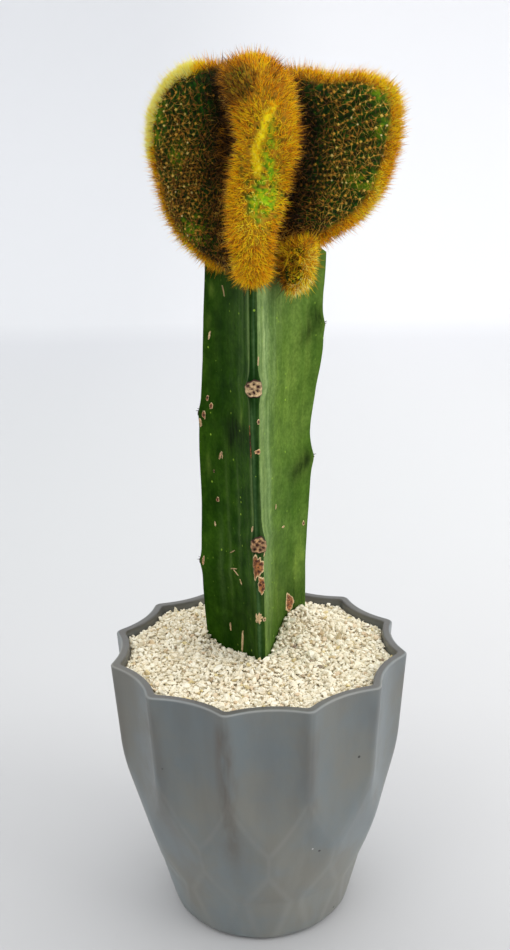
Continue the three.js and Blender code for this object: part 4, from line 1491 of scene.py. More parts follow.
@dataclass
class Grit:
    """The top dressing: a bed that fills the planter's mouth, and a cover of crushed stones on it."""

    planter: Planter
    stock: Stock
    soil_top: float = 112.3
    level: float = 136.6
    hills: tuple = ((0, 8, 3.2, 38), (20, 20, 12, 17), (12, 6, 4.5, 11), (4, -23, 4.5, 8), (-16, 8, -6.5, 17))
    clearance: float = 0.3
    bed_drop: float = 0.9
    bed_rings: int = 70
    hole_level: float = 135.0
    stem_level: float = 141.0
    wall_fits: int = 12
    first_inset: float = 6.0
    row_height: float = 0.87
    jitter: float = 0.42
    seed: int = 23

    def surface(self, x: Array, y: Array) -> Array:
        """Height of the grit: level + sum of h * exp(-r*r / (s*s)) over its hills and its hollow.

        Args:
            x: Places.
            y: Places.

        Returns:
            Heights.
        """
        total = np.full(np.shape(x), self.level)
        for at_x, at_y, rise, spread in self.hills:
            total = total + rise * np.exp(-((x - at_x) ** 2 + (y - at_y) ** 2) / spread**2)
        return total

    def _room(self, x: Array, y: Array) -> tuple[Array, Array]:
        """How far places lie inside the planter's wall, and outside the stem.

        Args:
            x: Places.
            y: Places.

        Returns:
            Two arrays of distances, less than zero in the wall or the stem.
        """
        inside = self.planter.inner_at(x, y, self.surface(x, y)) - np.hypot(x, y)
        ring = self.stock.outline(np.array([self.stem_level]))[0]
        ahead = np.roll(ring, -1, 0) - ring
        offset = np.stack([x, y], -1)[:, None] - ring
        share = np.clip((offset * ahead).sum(-1) / (ahead**2).sum(-1), 0, 1)
        gap = np.linalg.norm(offset - share[..., None] * ahead, axis=-1).min(1)
        cross = (ring[:, 1] > y[:, None]) != (np.roll(ring[:, 1], -1) > y[:, None])
        climb = np.where(ahead[:, 1] == 0, 1e-9, ahead[:, 1])
        reach = ring[:, 0] + (y[:, None] - ring[:, 1]) * ahead[:, 0] / climb
        within = (cross & (x[:, None] < reach)).sum(1) % 2 == 1
        return inside, np.where(within, -gap, gap)

    def bed(self, material: bpy.types.Material) -> None:
        """Makes the bed, which stands for the CAD bed and its loose stones: a closed ring, rough on top.

        Args:
            material: Its finish.
        """
        hole = self.stock.outline(np.array([self.hole_level]))[0][::2]
        middle = hole.mean(0)
        hole = hole + unit(hole - middle) * self.clearance * 1.5
        levels = np.full(len(hole), self.level)
        reach = self.planter.inner_at(*(hole - middle).T, levels) - self.first_inset
        way = unit(hole - middle)
        for _ in range(self.wall_fits):
            spot = middle + way * reach[:, None]
            wall = self.planter.inner_at(*spot.T, levels)
            reach = reach + (wall - self.clearance - np.linalg.norm(spot, axis=1))
        shares = np.linspace(0, 1, self.bed_rings)[:, None, None]
        flat = hole + shares * (middle + way * reach[:, None] - hole)
        top = self.surface(flat[..., 0], flat[..., 1]) - self.bed_drop
        points = np.concatenate([flat, top[..., None]], -1)
        points[..., 2] += 0.55 * lattice_noise(points.reshape(-1, 3), 1.7, seed=3).reshape(top.shape)
        foot = points[[0, -1]].copy()
        foot[..., 2] = self.soil_top
        low = foot[1].copy()
        edge = self.planter.inner_at(*low.T) - self.clearance
        low[:, :2] = unit(low[:, :2]) * np.minimum(edge, np.linalg.norm(low[:, :2], axis=1))[:, None]
        rings = np.concatenate([foot[:1], points, low[None], foot[:1]])
        cells, places = sheet_cells(*rings.shape[:2])
        shell = Shell(rings.reshape(-1, 3), [cells], [places])
        stones = [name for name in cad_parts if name.startswith("grit_")]
        make_piece("grit_bed_fill", shell, material, Slot.GRIT, *stones, weld=True)

    @staticmethod
    def _stone_shapes(count: int, rng: np.random.Generator, fine: bool) -> tuple[Array, Array]:
        """Crushed stones: a ball's points pulled in to random flat cuts, r = min of d / (n . direction).

        Args:
            count: How many stones.
            rng: Source of the cuts.
            fine: Whether each has 32 faces, or 20.

        Returns:
            Points (count, k, 3) of about unit half-size, and triangles (m, 3).
        """
        ball = bmesh.new()
        if not fine:
            bmesh.ops.create_icosphere(ball, subdivisions=1, radius=1)
        else:
            ends = ((1, 0, 0), (-1, 0, 0), (0, 1, 0), (0, -1, 0), (0, 0, 1), (0, 0, -1))
            corner = [ball.verts.new(end) for end in ends]
            for a, b, c in ((0, 2, 4), (2, 1, 4), (1, 3, 4), (3, 0, 4), (2, 0, 5), (1, 2, 5), (3, 1, 5),
                            (0, 3, 5)):
                ball.faces.new((corner[a], corner[b], corner[c]))
            bmesh.ops.subdivide_edges(ball, edges=ball.edges, cuts=1, use_grid_fill=True)
            bmesh.ops.triangulate(ball, faces=ball.faces)
        ball.verts.ensure_lookup_table()
        ball.verts.index_update()
        directions = unit(np.array([vertex.co for vertex in ball.verts]))
        triangles = np.array([[vertex.index for vertex in face.verts] for face in ball.faces])
        ball.free()
        cuts = unit(rng.normal(size=(count, 8, 3)))
        depth = rng.uniform(0.42, 0.95, (count, 8))
        facing = np.einsum("vk,sck->svc", directions, cuts)
        reach = np.where(facing > 0.2, depth[:, None] / np.maximum(facing, 0.2), 9).min(-1)
        return directions * np.minimum(reach, 1.2)[..., None], triangles

    @staticmethod
    def _spins(turns: Array) -> Array:
        """Turns unit quaternions into rotation matrices.

        Args:
            turns: The quaternions, (n, 4).

        Returns:
            Matrices, (n, 3, 3).
        """
        w, a, b, c = turns.T
        return np.stack([1 - 2 * (b * b + c * c), 2 * (a * b - w * c), 2 * (a * c + w * b),
                         2 * (a * b + w * c), 1 - 2 * (a * a + c * c), 2 * (b * c - w * a),
                         2 * (a * c - w * b), 2 * (b * c + w * a), 1 - 2 * (a * a + b * b)],
                        1).reshape(-1, 3, 3)

    def _layer(self, name: str, lift: float, half: tuple, spacing: float, seed: int, fine: bool,
               keep: float, material: bpy.types.Material) -> None:
        """Makes one layer of stones on a jittered grid as one piece.

        Args:
            name: The piece's name.
            lift: Height of the stones' middles over the nominal surface.
            half: Least and greatest half-length of a stone.
            spacing: Distance between places of the grid.
            seed: Which random draw.
            fine: Whether stones have more faces.
            keep: Share of the grid's places that get a stone.
            material: Their finish.
        """
        rng = np.random.default_rng(seed)
        side = np.arange(-72, 72, spacing)
        x, y = (grid.ravel() for grid in np.meshgrid(side, side * self.row_height))
        x = x + (np.round(y / spacing / self.row_height).astype(int) % 2) * spacing / 2
        x = x + rng.uniform(-self.jitter, self.jitter, x.shape) * spacing
        y = y + rng.uniform(-self.jitter, self.jitter, y.shape) * spacing
        size = half[0] + (half[1] - half[0]) * rng.beta(1.3, 2.6, x.shape)
        inside, outside = self._room(x, y)
        kept = (inside > 0.75 * size + 0.2) & (outside > 0.75 * size + 0.1)
        kept = kept & (rng.uniform(size=x.shape) < keep)
        x, y, size = x[kept], y[kept], size[kept]
        count = len(x)
        shapes, triangles = self._stone_shapes(count, rng, fine)
        stretch = rng.uniform([0.95, 0.65, 0.42], [1.3, 1.0, 0.8], (count, 3))
        shapes = shapes * (size[:, None] * stretch)[:, None]
        spin = self._spins(unit(rng.normal(size=(count, 4)) * [1, 0.35, 0.35, 1.4]))
        local = np.einsum("sij,svj->svi", spin, shapes)
        z = self.surface(x, y) + lift + rng.uniform(-0.35, 0.35, count) + 0.25 * (size - half[0])
        points = local + np.stack([x, y, z], 1)[:, None]
        faces = (triangles[None] + (np.arange(count) * shapes.shape[1])[:, None, None]).reshape(-1, 3)
        tone = np.where(rng.uniform(size=count) < 0.9, rng.beta(2.2, 1.8, count) * 0.72,
                        np.where(rng.uniform(size=count) < 0.93, rng.uniform(0.72, 0.95, count),
                                 rng.uniform(0.95, 0.99, count)))
        drift = np.stack([tone, rng.uniform(0.04, 0.96, count)], 1)[:, None]
        places = drift + np.stack([local[..., 0] * 0.004 + local[..., 2] * 0.002,
                                   local[..., 1] * 0.012 + local[..., 2] * 0.012], -1)
        places = np.clip(places, 0.002, 0.998).reshape(-1, 2)[faces]
        shell = Shell(points.reshape(-1, 3), [faces], [places])
        make_piece(name, shell, material, Slot.GRIT, smooth=False)

    def stones(self, material: bpy.types.Material) -> None:
        """Makes the layers of stones, the lower one plain and the upper ones with more faces.

        Args:
            material: Their finish.
        """
        self._layer("grit_lower", -0.7, (1.0, 1.7), 1.9, self.seed, False, 1.0, material)
        self._layer("grit_upper", 0.0, (0.7, 2.1), 2.15, self.seed + 1, True, 1.0, material)
        self._layer("grit_loose", 0.8, (1.1, 2.7), 5.0, self.seed + 2, True, 0.65, material)


# ---------------------------------------------------------------- bristles


def needles(roots: Array, ways: Array, lengths: Array, radii: Array, tints: Array,
            rng: np.random.Generator, sides: int = 3) -> Shell:
    """Tapered needles, each a closed pyramid: a small base round its root and one point at its tip.

    Args:
        roots: Feet of the needles, (n, 3).
        ways: Unit directions.
        lengths: Lengths.
        radii: Radii at the foot.
        tints: Places across the tint map, 0 to 1.
        rng: Source of the turn of each base.
        sides: Corners of a base.

    Returns:
        All the needles in one shell, with a map whose width is the tint and whose height runs to the tip.
    """
    count = len(roots)
    first, second = side_axes(ways)
    turn = rng.uniform(0, 2 * np.pi, count)[:, None] + np.arange(sides) * 2 * np.pi / sides
    ring = swung(turn, first[:, None], second[:, None]) * radii[:, None, None]
    points = np.concatenate([roots[:, None] + ring, (roots + ways * lengths[:, None])[:, None]], 1)
    corner = np.arange(sides)
    walls = np.stack([corner, (corner + 1) % sides, np.full(sides, sides)], 1)
    base = corner[::-1][None]
    start = (np.arange(count) * (sides + 1))[:, None, None]
    spread = 0.012 * np.cos(corner * 2 * np.pi / sides + 0.5)
    lift = 0.03 + 0.025 * np.sin(corner * 2 * np.pi / sides + 0.5)
    tint = np.clip(tints, 0.015, 0.985)
    u = np.concatenate([tint[:, None] + spread, tint[:, None]], 1)
    v = np.broadcast_to(np.concatenate([lift, [0.985]]), u.shape)
    place = np.stack([u, v], -1).reshape(-1, 2)
    faces = [(walls + start).reshape(-1, 3), (base + start).reshape(-1, sides)]
    return Shell(points.reshape(-1, 3), faces, [place[f] for f in faces])


def wool_dots(places: Array, normals: Array, sizes: Array, tints: Array) -> Shell:
    """Tufts of areole wool, each a small eight-faced body half sunk in the skin.

    Args:
        places: Their middles, (n, 3).
        normals: Outward directions.
        sizes: Half-widths.
        tints: Places across the tint map.

    Returns:
        All the tufts in one shell.
    """
    first, second = side_axes(normals)
    arms = np.stack([first, second, -first, -second, 0.75 * normals, -0.75 * normals], 1)
    points = places[:, None] + arms * sizes[:, None, None]
    cells = np.array([[0, 1, 4], [1, 2, 4], [2, 3, 4], [3, 0, 4],
                      [1, 0, 5], [2, 1, 5], [3, 2, 5], [0, 3, 5]])
    faces = (cells[None] + (np.arange(len(places)) * 6)[:, None, None]).reshape(-1, 3)
    tint = np.clip(tints, 0.02, 0.98)[:, None]
    u = tint + np.array([0.012, 0, -0.012, 0, 0, 0])
    v = np.broadcast_to([0.5, 0.44, 0.5, 0.56, 0.62, 0.4], u.shape)
    place = np.stack([u, v], -1).reshape(-1, 2)
    return Shell(points.reshape(-1, 3), [faces], [place[faces]])


@dataclass(frozen=True)
class TintPatch:
    """A soft area of the scion, seen from the front, and the tint that bristles turn to in it."""

    x: float
    z: float
    half_x: float
    half_z: float
    strength: float = 1.0
    tint: float = 0.0

    def share(self, points: Array) -> Array:
        """How far places belong: strength * exp(-(u*u + v*v)^2), u and v in half sizes, only in front."""
        reach = ((points[:, 0] - self.x) / self.half_x) ** 2 + ((points[:, 2] - self.z) / self.half_z) ** 2
        return self.strength * np.exp(-(reach**2)) * smooth_ramp(34, 24, points[:, 1])


def covered(patches: Sequence[TintPatch], points: Array) -> Array:
    """How much places belong to several patches together, from 0 to 1."""
    return np.clip(sum(patch.share(points) for patch in patches), 0, 1)


@dataclass(frozen=True)
class BristleKind:
    """Bristles of one sort: how many stand in an areole, and their lean, length, radius and tint."""

    each: int
    lean: tuple[float, float]
    length: tuple[float, float]
    radius: tuple[float, float]
    tint_shift: float = 0.0
    tint_spread: float = 0.09
    kept: float = 1.0


@dataclass(frozen=True)
class LobeShape:
    """One fan of the crest.

    Attributes:
        name: What the fan is called.
        origin: The fan's root.
        turn: Heading of its plane in degrees from +X.
        half: Half its thickness.
        outline: (angle from the heading up, distance from the root) points of its rim.
        fan: Middle of its rows of areoles, out and up from its root.
        row_step: Distance between the areoles of a row.
        columns: Points round its skin.
        face_rows: Rows of points on each face.
        rim_rows: Rows of points over its rim.
        meander: How far it swings sideways.
        pinches: (angle, spread, share) places where it is thinner, or thicker where the share is below 0.
        row_angle: Angle between its rows of areoles.
        rim_start: Turn from the face, in degrees, where the crowded bristles of the rim begin.
        rim_tint: Tint of its rim's bristles.
        face_tint: Tint of its faces' bristles.
        shade: How much darker its bristles are in the folds: partly their own darker colour, partly painted
            shade.
    """

    name: str
    origin: tuple[float, float, float]
    turn: float
    half: float
    outline: tuple
    fan: tuple[float, float] = (0.0, 0.0)
    row_step: float = 2.9
    columns: int = 440
    face_rows: int = 50
    rim_rows: int = 34
    meander: float = 0.0
    pinches: tuple = ()
    row_angle: float = 3.75
    rim_start: float = 52.0
    rim_tint: float = 0.7
    face_tint: float = 0.4
    shade: float = 1.0


LOBES = (
    LobeShape("left", (4, 8, 355), 169, 10.5, (
        (6, 45), (18, 49.5), (31, 57), (43, 63), (55, 64.5), (67, 62), (82, 54), (120, 34), (180, 16),
        (240, 27), (278, 35.5), (305, 35), (330, 38.5)),
        fan=(9, -14), row_step=2.3, row_angle=2.8, rim_start=46, rim_tint=0.84, face_tint=0.45),
    LobeShape("right", (10, 6, 362), -8, 10.5, (
        (5, 51), (20, 58), (33, 64.5), (45, 61), (58, 51.5), (77, 47.5), (120, 36), (180, 16), (250, 24),
        (300, 31), (325, 36.5), (346, 44.5)),
        fan=(-24, 3), row_step=2.1, row_angle=3.0, rim_start=36, rim_tint=0.885, face_tint=0.5),
    LobeShape("centre", (0.5, 4, 362), -90, 12, (
        (0, 31.5), (25, 36), (45, 43.5), (65, 50), (85, 52), (105, 48), (130, 34), (180, 16), (240, 22),
        (275, 36), (295, 45), (308, 50), (320, 45), (338, 36)),
        meander=7, pinches=((301, 26, 0.52), (85, 34, -0.14)), rim_start=14, rim_tint=0.83, face_tint=0.52),
    LobeShape("tongue", (19.8, -8.5, 330), -15, 5.0, (
        (0, 6.5), (45, 9.5), (75, 8), (120, 7), (180, 7), (225, 9), (262, 14), (290, 12), (325, 7.5)),
        columns=170, face_rows=14, rim_rows=18, pinches=((270, 50, 0.2),), rim_start=20, rim_tint=0.92,
        face_tint=0.86, shade=0.3),
    LobeShape("back", (4, 12, 362), 92, 12, (
        (0, 28), (30, 33), (60, 41), (90, 44), (150, 20), (210, 18), (270, 31), (320, 30)), columns=340,
        rim_start=44, rim_tint=0.7),
)


class Lobe:
    """Geometry of one fan: a flat-faced plate with a round rim, its skin, areoles and bristles."""

    meander_height = 380.0
    meander_spread = 22.0
    core = 2.0
    dish = 1.3
    rim_blend = 6
    rim_margin = 14
    rim_samples = 1441
    row_steps = 44

    def __init__(self, shape: LobeShape) -> None:
        """Works out the directions of the fan's plane.

        Args:
            shape: Its sizes.
        """
        self.shape = shape
        turn = np.radians(shape.turn)
        self.root = np.array(shape.origin, float)
        self.out = np.array([np.cos(turn), np.sin(turn), 0])
        self.square = np.array([np.sin(turn), -np.cos(turn), 0])

    def half(self, angle: Array) -> Array:
        """Half the thickness: half * (1 - sum of share * exp(-(away/spread)^2)) over its pinches.

        Args:
            angle: Angles round the plane, in degrees.

        Returns:
            Half thicknesses.
        """
        change = 0 * angle
        for middle, spread, share in self.shape.pinches:
            change = change + share * hump(turn_from(middle, angle), 0, spread)
        return self.shape.half * (1 - change)

    def flat(self, angle: Array) -> Array:
        """Reach of the flat faces at angles in degrees: the outline less half the thickness."""
        return np.maximum(knot_curve(self.shape.outline, angle, 360) - self.half(angle), self.core)

    def _swing(self, height: Array) -> Array:
        """Sideways shift at heights: meander * exp(-((z - h) / s)^2)."""
        return self.shape.meander * hump(height, self.meander_height, self.meander_spread)

    def place(self, angle: Array, turn: Array, share: Array) -> tuple[Array, Array]:
        """Points of the plain skin and their outward directions.

        Formula: reach = flat * share + half * sin(turn) along the angle, half * cos(turn) across the plane.

        Args:
            angle: Round the plane from its heading up, in degrees.
            turn: From one face, 0, over the rim, 90, to the other face, 180.
            share: How far out on the face, 1 on the rim.

        Returns:
            Points and directions, each (n, 3).
        """
        radial = swung(np.radians(angle), self.out, UP)
        sine, cosine = np.sin(np.radians(turn))[..., None], np.cos(np.radians(turn))[..., None]
        half = self.half(angle)[..., None]
        reach = self.flat(angle)[..., None] * share[..., None] + half * sine
        sink = self.dish * np.sin(np.pi * np.clip(share, 0, 1))[..., None] * np.sign(cosine) * (sine < 0.02)
        point = self.root + radial * reach + self.square * (half * cosine - sink)
        point[..., 0] += self._swing(point[..., 2])
        return point, radial * sine + self.square * cosine

    def clearance(self, points: Array) -> Array:
        """How far points lie outside the plain skin, less than zero inside it.

        Args:
            points: Places, with x, y and z on the last axis.

        Returns:
            Distances.
        """
        local = points - self.root - self._swing(points[..., 2])[..., None] * np.array([1.0, 0, 0])
        out, up, across = local @ self.out, local[..., 2], local @ self.square
        angle = np.degrees(np.arctan2(up, out))
        beyond = np.hypot(out, up) - self.flat(angle)
        return np.where(beyond < 0, np.abs(across), np.hypot(beyond, across)) - self.half(angle)

    def _rows(self, out: Array, up: Array) -> Array:
        """How much of a tubercle stands at places of the unrolled skin.

        Rows are rays from the fan's middle; a tubercle is cos(pi*a) * cos(pi*b), a and b the distances
        from its middle in rows and steps.

        Args:
            out: Places along the heading.
            up: Places upward.

        Returns:
            Heights from 0 to 1.
        """
        x, y = out - self.shape.fan[0], up - self.shape.fan[1]
        row = np.degrees(np.arctan2(y, x)) / self.shape.row_angle
        step = np.hypot(x, y) / self.shape.row_step - 0.5 * (np.round(row) % 2)
        return np.clip(np.cos(np.pi * (row - np.round(row))) * np.cos(np.pi * (step - np.round(step))), 0, 1)

    def swell(self, points: Array) -> Array:
        """Slow unevenness of the whole fan, and the crest of its growing line."""
        return (1.0 * lattice_noise(points, 13.0, seed=31) + 0.4 * lattice_noise(points, 5.0, seed=32)
                + 0.25 * growing_line(points) - 0.5 * bare_gaps(points))

    def skin(self, others: Sequence[Lobe]) -> Shell:
        """The fan's skin as a closed body with its tubercles.

        Args:
            others: The other fans, which shade the folds.

        Returns:
            The shell, with masks for its tubercles, its rim, its fresh flesh and the painted shade of its
            folds.
        """
        angle = np.arange(self.shape.columns) * 360 / self.shape.columns
        faces, edge = self.shape.face_rows, self.shape.rim_rows
        share, turns = np.linspace(0.04, 1, faces), np.linspace(0, 180, edge)
        turn = np.concatenate([np.zeros(faces - 1), turns, np.full(faces - 1, 180.0)])[:, None] + 0 * angle
        shares = np.concatenate([share[:-1], np.ones(edge), share[-2::-1]])[:, None] + 0 * angle
        angle = angle + 0 * turn
        point, normal = self.place(angle, turn, shares)
        flat_points = point.reshape(-1, 3)
        nearest = np.minimum(turn, 180 - turn)
        reach = self.flat(angle) * shares + self.half(angle) * np.radians(nearest)
        bump = self._rows(reach * np.cos(np.radians(angle)), reach * np.sin(np.radians(angle)))
        start = self.shape.rim_start
        on_rim = smooth_ramp(start - self.rim_blend, start + self.rim_blend, nearest)
        knobs = 0.5 + 0.5 * lattice_noise(flat_points, 0.95, seed=33).reshape(turn.shape)
        bump = bump * (1 - on_rim) + knobs * on_rim
        point = point + normal * (self.swell(flat_points).reshape(turn.shape) + 0.8 * bump)[..., None]
        near = np.min([other.clearance(flat_points) for other in others], axis=0).reshape(turn.shape)
        fresh = covered(FRESH, flat_points)
        fresh = fresh * smooth_ramp(-0.5, 0.2, lattice_noise(flat_points, 1.7, seed=61))
        young = np.maximum(growing_line(flat_points), growing_band(flat_points)).reshape(turn.shape) * on_rim
        gaps = bare_gaps(flat_points).reshape(turn.shape)
        # The fold mask is painted shade where other fans come near.
        return ring_shell(point, {
            "tubercle": bump, "rim": on_rim * (1 - gaps), "fold": 0.95 * smooth_ramp(13, 1, near),
            "fresh": fresh.reshape(turn.shape), "young": young})

    def face_areoles(self, rng: np.random.Generator) -> tuple[Array, Array]:
        """Areoles in rows over the faces and round the shoulders, one on each tubercle.

        Args:
            rng: Source of small shifts.

        Returns:
            Places on the skin and outward directions.
        """
        rows, steps = np.arange(round(360 / self.shape.row_angle)), np.arange(1, self.row_steps)
        row, step = (grid.ravel() for grid in np.meshgrid(rows, steps))
        step = step + 0.5 * (row % 2)
        slant = np.radians(row * self.shape.row_angle)
        gap = step * self.shape.row_step * np.radians(self.shape.row_angle)
        kept = (gap > 1.25) | ((row % 2 == 0) & (gap > 0.6)) | (row % 4 == 0)
        slant, step = slant[kept], step[kept]
        out = self.shape.fan[0] + step * self.shape.row_step * np.cos(slant)
        up = self.shape.fan[1] + step * self.shape.row_step * np.sin(slant)
        out, up = (value + rng.normal(0, 0.24, value.shape) for value in (out, up))
        angle, reach = np.degrees(np.arctan2(up, out)), np.hypot(out, up)
        flat = self.flat(angle)
        turn = np.degrees(np.maximum(reach - flat, 0) / self.half(angle))
        kept = (turn < self.shape.rim_start) & (reach > 2.5)
        angle, turn, share = angle[kept], turn[kept], np.minimum(reach / flat, 1)[kept]
        sides = [self.place(angle, way, share) for way in (turn, 180 - turn)]
        points, normals = (np.concatenate(part) for part in zip(*sides))
        return points + normals * (self.swell(points) + 0.65)[:, None], normals

    def rim_areoles(self, spacing: float, rng: np.random.Generator) -> tuple[Array, Array, Array]:
        """Areoles crowded over the round rim.

        Args:
            spacing: Distance between them.
            rng: Source of their shifts.

        Returns:
            Places on the skin, outward directions, and the turn from the nearer face at each.
        """
        fine = np.linspace(0, 360, self.rim_samples)
        line = knot_curve(self.shape.outline, fine, 360)[:, None] * ray(np.radians(fine))
        way = np.concatenate([[0], np.cumsum(np.linalg.norm(np.diff(line, axis=0), axis=1))])
        first = self.shape.rim_start - self.rim_margin
        turns = np.arange(first, 180 - first, np.degrees(spacing / self.shape.half))
        along, turn = (grid.ravel() for grid in np.meshgrid(np.arange(0, way[-1], spacing), turns))
        along = along + rng.uniform(-0.5, 0.5, along.shape) * spacing
        turn = turn + np.degrees(rng.uniform(-0.5, 0.5, turn.shape) * spacing / self.shape.half)
        angle = np.interp(along % way[-1], way, fine)
        points, normals = self.place(angle, np.clip(turn, 1, 179), np.ones(angle.shape))
        turn = np.minimum(turn, 180 - turn)
        kept = turn > first + self.rim_margin * (growing_band(points) < 0.5)
        points, normals, turn = points[kept], normals[kept], turn[kept]
        return points + normals * (self.swell(points) + 0.3)[:, None], normals, turn


# Areas of bright green flesh, of small bare gaps, and of the left fan's young rim.
FRESH = rows(TintPatch,
        (5.6, 357, 6.4, 13), (8, 383, 3, 5, 0.4), (8.6, 372, 4, 8, 0.7), (-5, 404, 6, 6, 0.2),
        (58, 398, 7, 5, 0.5), (50, 362, 9, 6, 0.4), (57, 384, 6, 5, 0.4), (-32, 374, 4, 6, 0.4),
        (-27, 342, 10, 8, 0.5), (-44, 392, 7, 14, 0.5))
SPARSE = rows(TintPatch,
        (5, 376, 10, 24), (6, 354, 9, 14), (-4, 402, 9, 9, 0.7), (-7, 332, 3, 4, 0.8))
BAND = rows(TintPatch,
        (-38, 407, 16, 17), (-48, 392, 10, 19))

# The growing line of the front ridge as (height, x), and the heights between which it is lemon yellow.
GROWING_LINE = ((341.0, 4.6), (349.0, 5.9), (359.0, 4.8), (366.8, 3.3), (374.6, 2.6), (380.0, 5.1),
                (388.0, 7.6), (392.0, 10.5), (397.0, 10.2), (407.0, 7.5), (412.0, 7.9))
LINE_ENDS = (366.0, 392.0)


def growing_line(points: Array, width: float = 2.1) -> Array:
    """How near places lie to the lemon-yellow growing line of the front ridge, from 0 to 1.

    Args:
        points: Places, (n, 3).
        width: Distance at which the line has faded out.

    Returns:
        One value for each place.
    """
    gap = np.abs(points[:, 0] - knot_curve(GROWING_LINE, np.clip(points[:, 2], 341, 412)))
    gap = gap + 0.6 * lattice_noise(points, 1.1, seed=71)
    low, high = LINE_ENDS
    return (smooth_ramp(width, 0.35 * width, gap) * smooth_ramp(-18, -22, points[:, 1])
            * smooth_ramp(low - 4, low + 2, points[:, 2]) * smooth_ramp(high + 2, high - 2, points[:, 2]))


def bare_gaps(points: Array) -> Array:
    """How much places belong to the small dark gaps between the tubercles of young growth, from 0 to 1."""
    gaps = smooth_ramp(0.16, 0.4, lattice_noise(points, 1.15, seed=83))
    return covered(SPARSE, points) * gaps * (1 - growing_line(points))


def growing_band(points: Array) -> Array:
    """How much places belong to the lemon-yellow young rim of the left fan, from 0 to 1."""
    return np.clip(1.6 * sum(patch.share(points) for patch in BAND), 0, 1)


